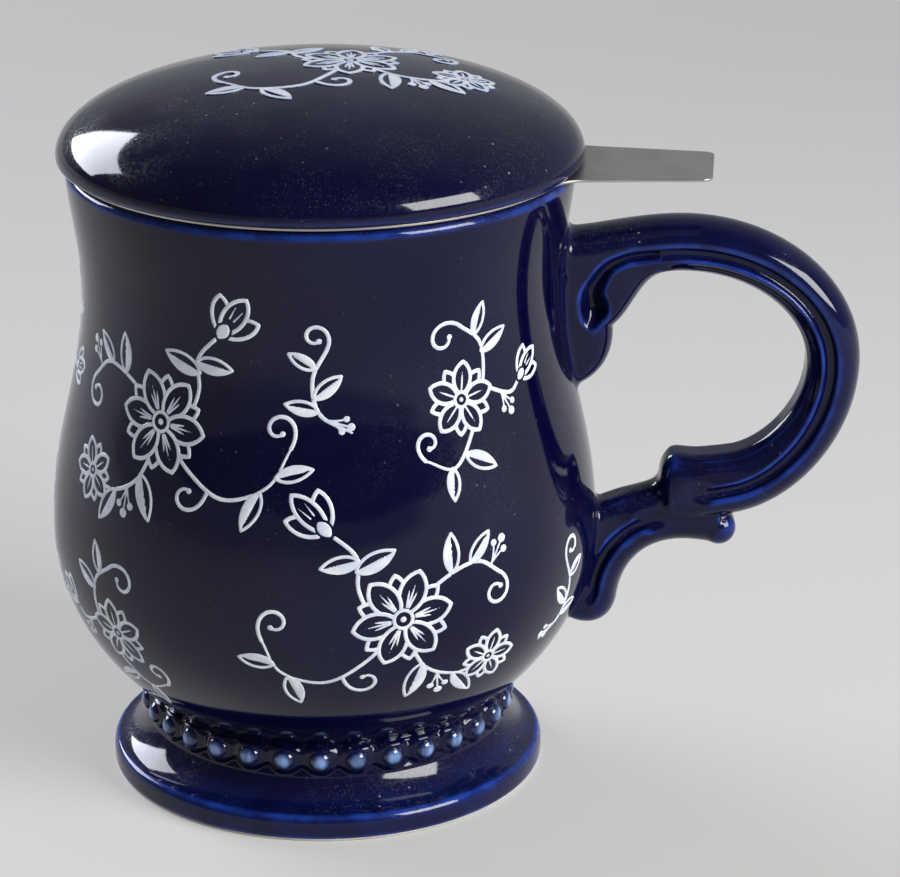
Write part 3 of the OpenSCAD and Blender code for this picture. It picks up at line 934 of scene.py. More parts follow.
def bracket_sections(s):
    """The bracket from its tail on the belly up to the knob."""
    h, bx = s.handle, s.bowl.belly_r
    tail_x, tz, hz = bx + h.tail_out, h.tail_z, h.thumb_z
    strut = chain(
        (bx - 5.3, tz + 1.3),
        ((bx - 1.3, tz - 1.3), (tail_x - 0.8, tz - 0.5), (tail_x, tz + 5.2), 32),
        ((tail_x + 1, hz - 8), (tail_x + 5.3, hz - 4), (bx + 16.2, hz - 4.1), 48),
        ((bx + 18.5, hz - 4.1), (h.knob_x - 2, h.knob_low_z), (h.knob_x, h.knob_low_z), 16),
    )
    back = chain(
        (h.core_x + 2, tz + 12),
        ((h.core_x + 2, tz + 13), (h.core_x + 2, tz + 15), (h.core_x + 3, tz + 16), 32),
        ((h.core_x + 6, hz + 1.5), (bx + 5.2, hz + 5), (bx + 13.7, hz + 8), 48),
        ((bx + 17, hz + 8), (h.knob_x, hz + 6), (h.knob_x, hz + 5), 16),
    )
    share = np.linspace(0, 1, len(strut))
    groove = h.groove * fade(share, 0.2, 0.35) * (1 - fade(share, 0.7, 0.85))
    width = h.half_w - 0.5 - 0.8 * fade(share, 0.4, 0.9)
    return [section(p, q, w, g) for p, q, w, g in zip(strut, back, width, groove)]


def knob_rings(h):
    """The rolled knob at the bracket's end: a bar with round ends."""
    r = h.knob_d / 2
    x, z = h.knob_x, h.knob_low_z + r
    side = h.half_w - 1.2 - r
    turn = 2 * math.pi * np.arange(32) / 32
    rings = []
    for sign, angles in ((-1, range(2, 91, 8)), (1, range(90, 1, -8))):
        for a in np.radians(angles):
            y, wide = sign * (side + r * math.cos(a)), r * math.sin(a)
            rings.append(np.column_stack([
                x + wide * np.cos(turn), np.full(32, y), z + wide * np.sin(turn)]))
    return rings


def handle_lofts(s):
    """The loop, its root lobes, the bracket and the knob, as closed overlapping solids."""
    h, cx, top = s.handle, s.handle.crest_x, s.handle.loop_top_z
    upper = bezier([(cx - 0.5, top - h.loop_depth), (cx - 7, top - 9.5),
                    (cx - 8, top - 17.2), (cx - 11.9, top - 20.3)], 36)
    lower = bezier([(cx - 13.4, top - 14.5), (cx - 10.4, top - 22.5),
                    (cx - 12.2, top - 29.2), (cx - 18.5, top - 31.8)], 48)
    return [loft(sections) for sections in (
        loop_sections(s),
        lobe(s, upper, 8, h.half_w - 0.6, h.half_w - 1.4),
        lobe(s, lower, 3, h.half_w - 1.2, h.half_w - 2.2),
        bracket_sections(s)[::-1],
        knob_rings(h),
    )]


def wall_patch(s, outside):
    """A slice of the bowl's wall behind the handle, which the fillets grow from."""
    half, thick, rows, columns = math.radians(17), 2.4, 150, 61
    turn = np.linspace(-half, half, columns)
    z = np.linspace(s.handle.tail_z - 9, s.handle.loop_top_z + 6, rows)
    layers = [cylindrical(r[:, None], turn, z[:, None]) for r in (outside(z), outside(z) - thick)]
    n = rows * columns
    faces = grid_faces(rows, columns)
    faces += [[n + v for v in q[::-1]] for q in faces]
    rim = ([r * columns for r in range(rows - 1, 0, -1)] + list(range(columns - 1))
           + [r * columns + columns - 1 for r in range(rows - 1)]
           + [(rows - 1) * columns + c for c in range(columns - 1, 0, -1)])
    for a, c in zip(rim, rim[1:] + rim[:1]):
        faces.append([c, a, a + n, c + n])
    return np.vstack(layers), faces


def remeshed(solid, voxel):
    """The gathered solids as one skin of even quads. Returns its vertices and faces, in mm."""
    source = bpy.data.meshes.new("lofts")
    source.from_pydata(np.vstack(solid.verts).tolist(), [], solid.faces)
    obj = new_object("lofts", source)
    skin = obj.modifiers.new("skin", "REMESH")
    skin.mode, skin.voxel_size = "VOXEL", voxel
    graph = bpy.context.evaluated_depsgraph_get()
    mesh = obj.evaluated_get(graph).to_mesh()
    verts = np.empty(len(mesh.vertices) * 3)
    mesh.vertices.foreach_get("co", verts)
    faces = np.empty(len(mesh.loops), np.int64)
    mesh.loops.foreach_get("vertex_index", faces)
    assert len(faces) == 4 * len(mesh.polygons), "the remeshed skin isn't all quads"
    obj.evaluated_get(graph).to_mesh_clear()
    bpy.data.objects.remove(obj)
    bpy.data.meshes.remove(source)
    return verts.reshape(-1, 3), faces.reshape(-1, 4)


class Skin:
    """An even quad skin that can be smoothed and measured."""

    def __init__(self, verts, faces):
        self.verts, self.faces = verts, faces
        pairs = np.sort(np.vstack([faces[:, [k, (k + 1) % 4]] for k in range(4)]), axis=1)
        pairs = np.unique(pairs, axis=0)
        self.a = np.concatenate([pairs[:, 0], pairs[:, 1]])
        self.b = np.concatenate([pairs[:, 1], pairs[:, 0]])
        self.degree = np.maximum(np.bincount(self.a, minlength=len(verts)), 1)

    def mean(self, values):
        """The mean of each vertex's neighbours."""
        n = len(self.verts)
        if values.ndim == 1:
            return np.bincount(self.a, values[self.b], n) / self.degree
        return np.column_stack([self.mean(values[:, k]) for k in range(values.shape[1])])

    def smooth(self, rounds, amount):
        """Evens the skin out. amount is a number, or one for each vertex."""
        amount = np.broadcast_to(amount, len(self.verts))[:, None]
        for _ in range(rounds):
            self.verts = self.verts + amount * (self.mean(self.verts) - self.verts)

    def polish(self, rounds):
        """Evens the skin out and holds its size."""
        for _ in range(rounds):
            self.smooth(1, 0.5)
            self.smooth(1, -0.52)

    def normals(self):
        """Unit normals of the vertices."""
        v = self.verts[self.faces]
        face = np.cross(v[:, 2] - v[:, 0], v[:, 3] - v[:, 1])
        total = np.column_stack([
            np.bincount(self.faces.ravel(), np.repeat(face[:, k], 4), len(self.verts))
            for k in range(3)])
        return total / np.maximum(np.linalg.norm(total, axis=1), 1e-12)[:, None]

    def bend(self, rounds):
        """How sharply the skin bends outwards, in 1/mm, evened over some rounds."""
        normal = self.normals()
        step = np.linalg.norm(self.verts[self.a] - self.verts[self.b], axis=1)
        size = np.bincount(self.a, step**2, len(self.verts)) / self.degree
        value = -4 * ((self.mean(self.verts) - self.verts) * normal).sum(1) / size
        for _ in range(rounds):
            value = 0.5 * value + 0.5 * self.mean(value)
        return value


def carve_curls(s, verts):
    """Presses the curled end of the channel into both sides of the root."""
    h = s.handle
    path = np.array([(-5, -6.0, 0.62), (-6.8, -6.1, 0.66), (-10.2, -6.7, 0.7),
                     (-13.3, -8.4, 0.8), (-15.2, -11.4, 0.95), (-16.1, -14, 1.25),
                     (-15.7, -16.6, 1.55), (-16, -18.8, 0.9)])
    path = spline(path + (h.crest_x, h.loop_top_z, 0), 5)
    deep = np.zeros(len(verts))
    at = verts[:, [0, 2]]
    for p, q in zip(path, path[1:]):
        way = q[:2] - p[:2]
        t = np.clip((at - p[:2]) @ way / (way @ way), 0, 1)
        r = p[2] + t * (q[2] - p[2])
        d = np.linalg.norm(at - p[:2] - t[:, None] * way, axis=1)
        deep = np.maximum(deep, 1.7 * r * (1 - fade(d, 0.2 * r, 1.9 * r)))
    width = np.abs(verts[:, 1])
    out = verts.copy()
    out[:, 1] = np.sign(verts[:, 1]) * (width - deep * fade(width, 1.5, 3.5))
    return out, deep


class MUG_OT_handle(bpy.types.Operator):
    """Grows the scrolled handle from its lofts, with fillets where it meets the bowl"""

    bl_idname = "mug.handle"
    bl_label = "Handle"

    def execute(self, context):
        s = settings()
        h, outside = s.handle, bowl_radius(s)
        solid = Solid()
        for part in handle_lofts(s):
            solid.add(*part)
        solid.add(*wall_patch(s, outside))
        voxel = 0.28
        skin = Skin(*remeshed(solid, voxel))

        def above_bowl():
            """How far each vertex stands out of the bowl."""
            v = skin.verts
            return np.hypot(v[:, 0], v[:, 1]) - outside(v[:, 2])

        def soften(x, z, near, far, amount):
            """Smooths round a line across the handle: fully within near, and not beyond far."""
            away = np.hypot(skin.verts[:, 0] - x, skin.verts[:, 2] - z)
            skin.smooth(round(amount / voxel**2), 0.5 * (1 - fade(away, near, far)))

        skin.polish(3)
        soften(h.crest_x - 18, h.loop_top_z - 10, near=6, far=11, amount=8.5)  # root crease
        soften(h.crest_x - 3, h.loop_top_z - 10, near=2, far=6, amount=4)  # underside
        skin.verts, deep = carve_curls(s, skin.verts)
        skin.smooth(10, 0.5 * fade(deep, 0, 0.4))
        skin.smooth(3, 0.4)
        soften(h.thumb_x, h.thumb_z + 6, near=4, far=9, amount=9)  # thumb scroll
        near_bowl = 1 - fade(np.abs(above_bowl()), 0.4, h.fillet)
        skin.smooth(70, 0.5 * near_bowl)
        skin.smooth(2, 0.4)
        mark = 0.05 + 0.85 * fade(skin.bend(2), 0.24, 1.0)
        high = above_bowl()
        hidden, cover = 0.06, 0.35
        radius = np.maximum(np.hypot(skin.verts[:, 0], skin.verts[:, 1]), TINY)
        skin.verts[:, :2] *= (1 - hidden * (1 - fade(high, 0.0, cover)) / radius)[:, None]
        shown = (high[skin.faces] > -0.02).any(1)
        used, faces = np.unique(skin.faces[shown], return_inverse=True)
        handle = Solid().add(skin.verts[used], faces.reshape(-1, 4).tolist(), mark[used])
        place("handle_scroll", handle, "mug", "cobalt_glaze", "handle")
        return {"FINISHED"}


# ---- Lid ----


class MUG_OT_lid(bpy.types.Operator):
    """Turns the domed lid and the ring that centres it in the infuser"""

    bl_idname = "mug.lid"
    bl_label = "Lid"

    def execute(self, context):
        lid = settings().lid
        edge_r = 2.0
        hollow_r, hollow_h = lid.r - lid.dome_t, lid.dome_h - lid.dome_t
        start = math.degrees(math.acos(lid.ring_in_r / hollow_r))
        dome = np.vstack([
            [(lid.ring_in_r, lid.seat_z)],
            arc((lid.r - edge_r, lid.wide_z), edge_r, lid.edge_h, -90, 0, 20),
            arc((0, lid.wide_z), lid.r, lid.dome_h, 1.2, 90, 90),
            arc((0, lid.wide_z), hollow_r, hollow_h, 90, start, 30),
        ])
        dome[np.abs(dome[:, 0]) < TINY, 0] = 0
        mark = profile_edge(dome, 0.42, 1.3)
        place_turned("lid_dome_glazed", dome, mark, "lid", "cobalt_glaze", "lid_dome")
        ring = rounded([
            (lid.ring_in_r, lid.seat_z + 0.8), (lid.ring_in_r, lid.ring_z),
            (lid.ring_out_r, lid.ring_z), (lid.ring_out_r, lid.seat_z + 0.4),
        ], 1.2, 8)
        mark = profile_edge(ring, 0.3, 1.0)
        place_turned("lid_ring_glazed", ring, mark, "lid", "cobalt_glaze", "lid_ring", steps=240)
        return {"FINISHED"}


# ---- Infuser ----


def cut_sheet(name, outlines, thickness, soft, low, turn=0.0):
    """A flat sheet with holes, of closed outlines, with softened edges. low is its underside."""
    curve = bpy.data.curves.new(name, "CURVE")
    curve.dimensions, curve.fill_mode = "2D", "BOTH"
    curve.extrude = thickness / 2 - soft
    curve.bevel_depth, curve.bevel_resolution, curve.offset = soft, 2, -soft
    for outline in outlines:
        edge = curve.splines.new("POLY")
        edge.points.add(len(outline) - 1)
        edge.points.foreach_set("co", [c for x, y in outline for c in (x, y, 0, 1)])
        edge.use_cyclic_u = True
    obj = new_object(name, curve)
    graph = bpy.context.evaluated_depsgraph_get()
    mesh = bpy.data.meshes.new_from_object(obj.evaluated_get(graph))
    bpy.data.objects.remove(obj)
    bpy.data.curves.remove(curve)
    mesh.name = name
    co = np.empty(len(mesh.vertices) * 3)
    mesh.vertices.foreach_get("co", co)
    x, y, z = co.reshape(-1, 3).T
    c, d = math.cos(turn), math.sin(turn)
    placed = np.column_stack([c * x - d * y, d * x + c * y, z + (low + thickness / 2)])
    mesh.vertices.foreach_set("co", (placed * MM).ravel())
    mesh.update()
    return mesh


def circle(r, n, centre=(0, 0)):
    """Points of a circle."""
    a = 2 * math.pi * np.arange(n) / n
    return np.column_stack([centre[0] + r * np.cos(a), centre[1] + r * np.sin(a)])


def tab_outline(s):
    """The flange's outside with its tapered tab, as one closed outline."""
    i = s.infuser
    fr = i.flange_r
    root = np.array([fr, i.tab_root_w / 2])
    lean = math.atan2((i.tab_root_w - i.tab_end_w) / 2, i.tab_reach - fr)
    normal = np.array([math.sin(lean), math.cos(lean)])
    off = normal @ root
    fillet = ((off + i.tab_fillet_r) * normal + np.array([math.cos(lean), -math.sin(lean)])
              * math.sqrt((fr + i.tab_fillet_r) ** 2 - (off + i.tab_fillet_r) ** 2))
    corner_x = i.tab_reach - i.tab_corner_r
    corner = (corner_x, (off - i.tab_corner_r - normal[0] * corner_x) / normal[1])
    lean_deg = math.degrees(lean)
    start = math.degrees(math.atan2(fillet[1], fillet[0]))
    edge = np.vstack([
        arc(fillet, i.tab_fillet_r, i.tab_fillet_r, 180 + start, 270 - lean_deg, 14),
        arc(corner, i.tab_corner_r, i.tab_corner_r, 90 - lean_deg, 0, 10),
    ])
    flange = arc((0, 0), fr, fr, start + 0.4, 360 - start - 0.4, 200)
    return np.vstack([edge[::-1] * (1, 1), flange, edge * (1, -1)])


class MUG_OT_infuser_rim(bpy.types.Operator):
    """Cuts the steel flange with its finger tab, and spins the collar under it"""

    bl_idname = "mug.infuser_rim"
    bl_label = "Infuser rim"

    def execute(self, context):
        s = settings()
        i = s.infuser
        roll, sheet_t, top = 1.1, 0.45, i.flange_top_z
        hole_r = i.wall_r + roll - 0.3
        flange = cut_sheet("flange_and_tab", [tab_outline(s), circle(hole_r, 200)], i.flange_t,
                           0.12, s.bowl.height, i.tab_turn)
        place("flange_and_tab", flange, "infuser", "satin_steel", "infuser_rim", smooth=False)

        inner = np.vstack([
            [(i.wall_r, i.collar_z)],
            arc((i.wall_r + roll, top - roll), roll, roll, 180, 90, 10),
        ])
        outer = inset(inner, -sheet_t)
        profile = np.vstack([inner, outer[::-1]])
        profile[:, 1] = np.minimum(profile[:, 1], top - 0.01)
        profile = rounded(profile, 0.1, 3, sharp=60)
        place_turned("spun_collar", profile, None, "infuser", "satin_steel", "infuser_collar",
                     steps=240)
        return {"FINISHED"}


def punched_wall(i):
    """The basket's wall, as a mesh of tiles with a hole in each, and a plain band at its ends."""
    low, high = i.basket_z + i.lap + 0.6, i.collar_z - 0.6
    inside_r = i.wall_r - i.sheet_t
    columns = int(round(2 * math.pi * i.wall_r / i.hole_pitch / 2)) * 2
    rows = int(round((high - low) / (i.hole_pitch * 0.87)))
    step_z = (high - low) / rows
    step_a = 2 * math.pi / columns
    hole_a, hole_z = i.hole_d / 2 / i.wall_r, i.hole_d / 2
    k = 16
    ring = 2 * math.pi * np.arange(k) / k
    edge_u = np.array([2, 2, 2, 1, 0, -1, -2, -2, -2, -2, -2, -1, 0, 1, 2, 2]) / 2
    edge_v = np.array([0, 1, 2, 2, 2, 2, 2, 1, 0, -1, -2, -2, -2, -2, -2, -1]) / 2
    faces = []
    for m in range(k):
        n = (m + 1) % k
        faces += [[m, n, k + n, k + m],
                  [2 * k + n, 2 * k + m, 3 * k + m, 3 * k + n],
                  [k + m, k + n, 3 * k + n, 3 * k + m]]
    wall = Solid()
    for row in range(rows):
        for col in range(columns):
            a0 = step_a * (col + 0.5 * (row % 2))
            z0 = low + step_z * (row + 0.5)
            a = np.concatenate([a0 + edge_u * step_a / 2, a0 + hole_a * np.cos(ring)])
            z = np.concatenate([z0 + edge_v * step_z / 2, z0 + hole_z * np.sin(ring)])
            wall.add(np.vstack([cylindrical(r, a, z) for r in (i.wall_r, inside_r)]), faces)
    for z0, z1 in ((i.basket_z + 0.9, low), (high, i.collar_z + i.lap)):
        band = [(inside_r, z0), (i.wall_r, z0), (i.wall_r, z1), (inside_r, z1)]
        wall.add(*lathe(band, columns * 4, closed=True))
    mesh = wall.mesh("perforated_wall")
    weld = bmesh.new()
    weld.from_mesh(mesh)
    bmesh.ops.remove_doubles(weld, verts=weld.verts, dist=0.02 * MM)
    weld.to_mesh(mesh)
    weld.free()
    return mesh


def punched_base(i):
    """The basket's flat base, with holes set in triangles."""
    outlines = [circle(i.base_r - 0.9, 120)]
    n = int(i.base_r / i.hole_pitch) + 1
    for a in range(-n, n + 1):
        for b in range(-n, n + 1):
            x, y = i.hole_pitch * (a + b / 2), i.hole_pitch * b * math.sqrt(3) / 2
            if math.hypot(x, y) < i.base_r - 3.2:
                outlines.append(circle(i.hole_d / 2, 14, (x, y)))
    return cut_sheet("perforated_base", outlines, i.sheet_t, 0.06, i.basket_z)


class MUG_OT_basket(bpy.types.Operator):
    """Punches the basket's wall and base with fine holes"""

    bl_idname = "mug.basket"
    bl_label = "Basket"

    def execute(self, context):
        i = settings().infuser
        for name, mesh, cad_node in (
            ("perforated_wall", punched_wall(i), "infuser_wall"),
            ("perforated_base", punched_base(i), "infuser_base"),
        ):
            place(name, mesh, "infuser", "satin_steel", cad_node, smooth=False)
        turn_r = 1.5
        cup = np.vstack([
            [(i.base_r - 1.2, i.basket_z)],
            arc((i.base_r - turn_r, i.basket_z + turn_r), turn_r, turn_r, -80, 0, 8),
            [(i.base_r, i.basket_z + i.lap)],
        ])
        profile = np.vstack([cup, inset(cup, i.sheet_t)[::-1]])
        place_turned("base_upturn", profile, None, "infuser", "satin_steel", "infuser_base",
                     steps=200)
        return {"FINISHED"}


# ---- Slip drawing ----


def heading(angle):
    """Unit vector at an angle in degrees."""
    return np.array([math.cos(math.radians(angle)), math.sin(math.radians(angle))])


def tendril(start, angle, reach, bend_a, bend_b, n=40):
    """A curling row of points. Its bend grows from bend_a to bend_b, in degrees per mm."""
    at = np.linspace(0, reach, n + 1)
    turn = np.radians(angle + bend_a * at + (bend_b - bend_a) * at * at / (2 * reach))
    mid = 0.5 * (turn[1:] + turn[:-1])
    way = np.cumsum(np.column_stack([np.cos(mid), np.sin(mid)]) * reach / n, 0)
    return np.vstack([start, np.asarray(start) + way])


def closed(points):
    """The row of points with its first repeated at its end."""
    return np.vstack([points, points[:1]])


def petal_shape(root, angle, reach, half, point):
    """A closed petal or leaf from its root. A higher point draws its tip out further."""
    way, side = heading(angle), heading(angle + 90)
    tip = root + reach * way
    curves = []
    for sign in (1, -1):
        curves.append(bezier([
            root, root + 0.18 * reach * way + sign * half * side,
            tip - (0.22 + point) * reach * way + sign * 1.25 * half * side, tip], 14))
    return np.vstack([curves[0], curves[1][-2:0:-1]])


def from_segment(x, y, a, b):
    """For each place, the share along a to b that is nearest to it, and its distance from it."""
    way = b - a
    t = ((x - a[0]) * way[0] + (y - a[1]) * way[1]) / max(way @ way, 1e-9)
    t = np.clip(t, 0, 1)
    return t, np.hypot(x - a[0] - t * way[0], y - a[1] - t * way[1])


class Drawing:
    """Brush work in slip, as distances on a fine grid in mm: negative inside a line."""

    far = 9.0  # stands for no line near
    ends = 0.3  # the share of a line that each end's taper takes

    def __init__(self, half_w, half_h, sizes, step):
        self.x = np.arange(-half_w, half_w + step, step)
        self.y = np.arange(-half_h, half_h + step, step)
        self.step = step
        self.outline_w, self.vein_w = sizes.outline_w, sizes.vein_w
        self.field = np.full((len(self.y), len(self.x)), self.far)

    def window(self, points, margin):
        """The part of the grid round some points: its rows and columns, and their places."""
        low = np.array([self.x[0], self.y[0]])
        a = np.floor((points.min(0) - margin - low) / self.step).astype(int)
        b = np.ceil((points.max(0) + margin - low) / self.step).astype(int) + 1
        rows = slice(max(a[1], 0), max(b[1], 0))
        columns = slice(max(a[0], 0), max(b[0], 0))
        return rows, columns, self.x[columns][None], self.y[rows][:, None]

    def line(self, points, width, start=1.0, end=1.0):
        """A brush line. Its width at each end is a share of width."""
        p = np.asarray(points, float)
        share = np.linspace(0, 1, len(p))
        taper = np.minimum(start + (1 - start) * share / self.ends, 1)
        taper = np.minimum(taper, end + (1 - end) * (1 - share) / self.ends)
        r = 0.5 * width * taper
        for a, b, ra, rb in zip(p, p[1:], r, r[1:]):
            rows, columns, x, y = self.window(np.vstack([a, b]), width + 0.6)
            t, d = from_segment(x, y, a, b)
            d = d - ra - t * (rb - ra)
            self.field[rows, columns] = np.minimum(self.field[rows, columns], d)

    def shape(self, points):
        """Signed distances to a closed shape, and their rows and columns."""
        p = np.asarray(points, float)
        rows, columns, x, y = self.window(p, 1.2)
        inside = np.zeros((y.shape[0], x.shape[1]), bool)
        near = np.full(inside.shape, self.far)
        for a, b in zip(p, np.roll(p, -1, 0)):
            near = np.minimum(near, from_segment(x, y, a, b)[1])
            if a[1] != b[1]:
                crossed = (y < a[1]) != (y < b[1])
                inside ^= crossed & (x < a[0] + (y - a[1]) * (b[0] - a[0]) / (b[1] - a[1]))
        return rows, columns, np.where(inside, -near, near)

    def fill(self, points):
        """A shape filled with slip."""
        rows, columns, d = self.shape(points)
        self.field[rows, columns] = np.minimum(self.field[rows, columns], d)

    def clear(self, points, grow):
        """Leaves a shape bare, out to grow beyond it."""
        rows, columns, d = self.shape(points)
        self.field[rows, columns] = np.maximum(self.field[rows, columns], grow - d)

    def dot(self, centre, r):
        """A round dab."""
        self.line([centre, np.asarray(centre) + (0.01, 0)], 2 * r)

    def petal(self, root, angle, reach, half, veins):
        """A petal in front of what is drawn so far, with its veins."""
        shape = petal_shape(root, angle, reach, half, 0.02)
        self.clear(shape, 0.26)
        self.line(closed(shape), self.outline_w)
        for lean, end in ((0, 0.72), (-10, 0.55), (10, 0.55))[:veins]:
            way = heading(angle + lean) * reach
            self.line([root + t * way for t in (0.16, 0.42, end)], self.vein_w, 1.0, 0.5)

    def blossom(self, centre, r, turn, petals):
        """An open flower: a rear and a front round of petals, and a ringed eye."""
        centre = np.asarray(centre, float)
        veins = 3 if r > 7 else 1
        for k in range(petals):
            angle = turn + 360 / petals * (k + 0.5)
            self.petal(centre + 0.1 * r * heading(angle), angle, 0.82 * r, 0.22 * r, 0)
        for k in range(petals):
            angle = turn + 360 / petals * k
            self.petal(centre + 0.12 * r * heading(angle), angle, 0.88 * r, 0.31 * r, veins)
        eye = centre + (0.16 * r + 0.25) * np.array([heading(a) for a in range(0, 360, 15)])
        self.clear(eye, 0.26)
        self.line(closed(eye), self.outline_w * 0.9)
        self.dot(centre, 0.06 * r + 0.1)

    def bud(self, root, angle, size):
        """A closed flower: three petals in a cup, on a solid calyx."""
        root = np.asarray(root, float)
        for lean, share in ((-34, 0.86), (34, 0.86), (0, 1.0)):
            self.petal(root, angle + lean, size * share, size * 0.27 * share, 0)
        for lean in (-7, 7):
            way = heading(angle + lean) * size
            self.line([root + 0.42 * way, root + 0.72 * way], self.vein_w, 1.0, 0.6)
        cup = petal_shape(root - 0.14 * size * heading(angle), angle, 0.42 * size, 0.17 * size, 0)
        self.clear(cup, 0.22)
        self.fill(cup)

    def leaf(self, root, angle, reach, solid):
        """A pointed leaf with a midrib. solid 1 fills its left half, and -1 its right."""
        root = np.asarray(root, float)
        shape = petal_shape(root, angle, reach, 0.235 * reach, 0.16)
        self.clear(shape, 0.24)
        half = len(shape) // 2
        side = shape[:half + 1] if solid > 0 else closed(shape)[half:]
        self.fill(side)
        self.line(closed(shape), self.outline_w * 0.85)
        self.line([root, root + 0.8 * reach * heading(angle)], self.vein_w, 1.0, 0.5)

    def berries(self, start, angle, size):
        """Three round dabs on fine stalks."""
        for lean, reach, r in ((-30, 3.6, 0.8), (4, 4.9, 0.94), (36, 3.8, 0.76)):
            stalk = tendril(start, angle + lean * 0.4, reach * size, lean * 0.12, lean * 0.22, 8)
            self.line(stalk, self.vein_w)
            self.dot(stalk[-1], r * size)

    def vine(self, points, start=1.0):
        """A stem through some points."""
        stem = spline(points)
        self.line(stem, self.outline_w, start, 1.0)
        return stem

    def curl(self, start, angle, reach, bend_a, bend_b):
        """A tendril that ends in a round dab."""
        way = tendril(start, angle, reach, bend_a, bend_b)
        self.line(way, self.outline_w, 1.0, 0.8)
        self.dot(way[-1], 0.66 * self.outline_w)


def large_spray(sizes, step):
    """Two blossoms on a scrolling vine, with a bud, leaves, berries and curls."""
    d = Drawing(28, 24, sizes, step)
    stem = d.vine([(-23.5, -6.5), (-19, -12.4), (-11, -13.6), (-5, -8.5), (0, -1), (5.5, 6.5),
                   (13, 10.5), (19, 8)], 0.7)
    d.curl(stem[-1], -32, 13.5, -13, -42)
    d.curl(stem[0], 124, 13.5, -6, -44)
    d.curl((-8.2, -12), -62, 12, 4, 44)
    rise = d.vine([(-2.5, -4), (-8, 5), (-9, 11), (-14.5, 15)])
    d.bud(rise[-1], 140, 8.4)
    d.leaf((-8.9, 8.5), 34, 7.6, -1)
    d.leaf((-8.6, 10.5), 198, 6.8, 1)
    d.vine([(1.5, -3), (6.5, -9.5), (13, -11.5), (18.5, -9.5)])
    d.leaf((5.6, -8.6), -98, 8.2, 1)
    d.leaf((12.4, -11.5), -46, 7.2, -1)
    d.berries((9, -10.8), -76, 1.0)
    d.leaf((-17.6, -13.2), -58, 7.2, 1)
    d.leaf((-20.5, -11.0), 178, 6.4, -1)
    d.leaf((8.5, 8.7), 98, 7.0, 1)
    d.leaf((12.0, 10.4), 58, 6.2, -1)
    d.berries((16.5, 9.9), 64, 0.95)
    d.blossom((19.3, -8.6), 5.6, 12, 5)
    d.blossom((0.4, 0.4), 9.0, 18, 6)
    return d


def small_spray(sizes, step):
    """One blossom, a bud and leaves on a short vine."""
    d = Drawing(20, 18, sizes, step)
    stem = d.vine([(-12, -9), (-7, -12), (-1.5, -7), (3, 0), (4, 7), (0, 12)], 0.7)
    d.curl(stem[-1], 140, 12, 10, 42)
    d.curl(stem[0], 122, 10, -10, -54)
    branch = d.vine([(2.8, -0.6), (8.5, -4.2), (12, -2.8)])
    d.bud(branch[-1], 30, 6.2)
    d.leaf((3.9, 5.5), 20, 6.4, -1)
    d.leaf((3.0, 9.0), 64, 5.8, 1)
    d.leaf((-4.2, -10.6), -38, 6.8, 1)
    d.leaf((-7.5, -11.9), -104, 5.6, -1)
    d.berries((6.5, -3.2), -74, 0.9)
    d.blossom((-2.2, -1.2), 6.6, 0, 5)
    return d


def sprig(sizes, step):
    """A short curled sprig with leaves and berries."""
    d = Drawing(11, 13, sizes, step)
    stem = d.vine([(1.5, -10), (-2.5, -5), (-1.5, 1), (2.5, 5)], 0.6)
    d.curl(stem[-1], 42, 11, 12, 50)
    d.leaf((-2.5, -4.5), 148, 5.8, 1)
    d.leaf((-2.4, -2.2), 20, 6.0, -1)
    d.leaf((-0.4, 2.6), 130, 5.2, -1)
    d.berries((-1.6, -6.5), -40, 0.85)
    return d


def traced(drawing):
    """The drawing's lines as small faces. Returns points, depths inside the line, and faces."""
    field, inside = drawing.field, drawing.field < 0
    index, points, depth, faces = {}, [], [], []

    def point(key, x, y, deep):
        if key not in index:
            index[key] = len(points)
            points.append((x, y))
            depth.append(deep)
        return index[key]

    def crossing(a, b):
        first, last = sorted((a, b))
        t = min(max(field[first] / (field[first] - field[last]), 0.08), 0.92)
        x = drawing.x[first[1]] + t * (last[1] - first[1]) * drawing.step
        y = drawing.y[first[0]] + t * (last[0] - first[0]) * drawing.step
        return point((first, last), x, y, 0.0)

    drawn = inside[:-1, :-1] | inside[1:, :-1] | inside[:-1, 1:] | inside[1:, 1:]
    for r, c in np.argwhere(drawn).tolist():
        ring = [(r, c), (r, c + 1), (r + 1, c + 1), (r + 1, c)]
        face = []
        for a, b in zip(ring, ring[1:] + ring[:1]):
            if inside[a]:
                face.append(point(a, drawing.x[a[1]], drawing.y[a[0]], -field[a]))
            if inside[a] != inside[b]:
                face.append(crossing(a, b))
        faces.append(face)
    return np.array(points), np.array(depth), faces


def shell(points, depth, faces, stand, wrap):
    """The traced lines as a thin closed body, rounded on top and sunk in the glaze below."""
    sunk, shoulder = 0.06, 0.26
    top = wrap(points, (stand + sunk) * fade(depth, 0, shoulder) - sunk)
    low = wrap(points, np.full(len(points), -3 * sunk))
    n = len(points)
    edges = {(a, b) for f in faces for a, b in zip(f, f[1:] + f[:1])}
    rim = [(a, b) for a, b in sorted(edges) if (b, a) not in edges]
    sides = [[b, a, a + n, b + n] for a, b in rim]
    under = [[v + n for v in f[::-1]] for f in faces]
    mark = fade(depth, 0.02, 0.3)
    return np.vstack([top, low]), faces + under + sides, np.concatenate([mark, mark])


def profile_wrap(profile):
    """A turned surface as a function, and the arc length along its profile at each point.

    The function takes an arc length and a height above the surface. It gives the surface's own
    radius there, and the radius and height of the place.
    """
    along = np.concatenate([[0], np.cumsum(np.linalg.norm(np.diff(profile, axis=0), axis=1))])
    way = directions(profile)

    def at(distance, height):
        r, z, dr, dz = (np.interp(distance, along, v) for v in (*profile.T, *way.T))
        return r, r + dz * height, z - dr * height

    return along, at


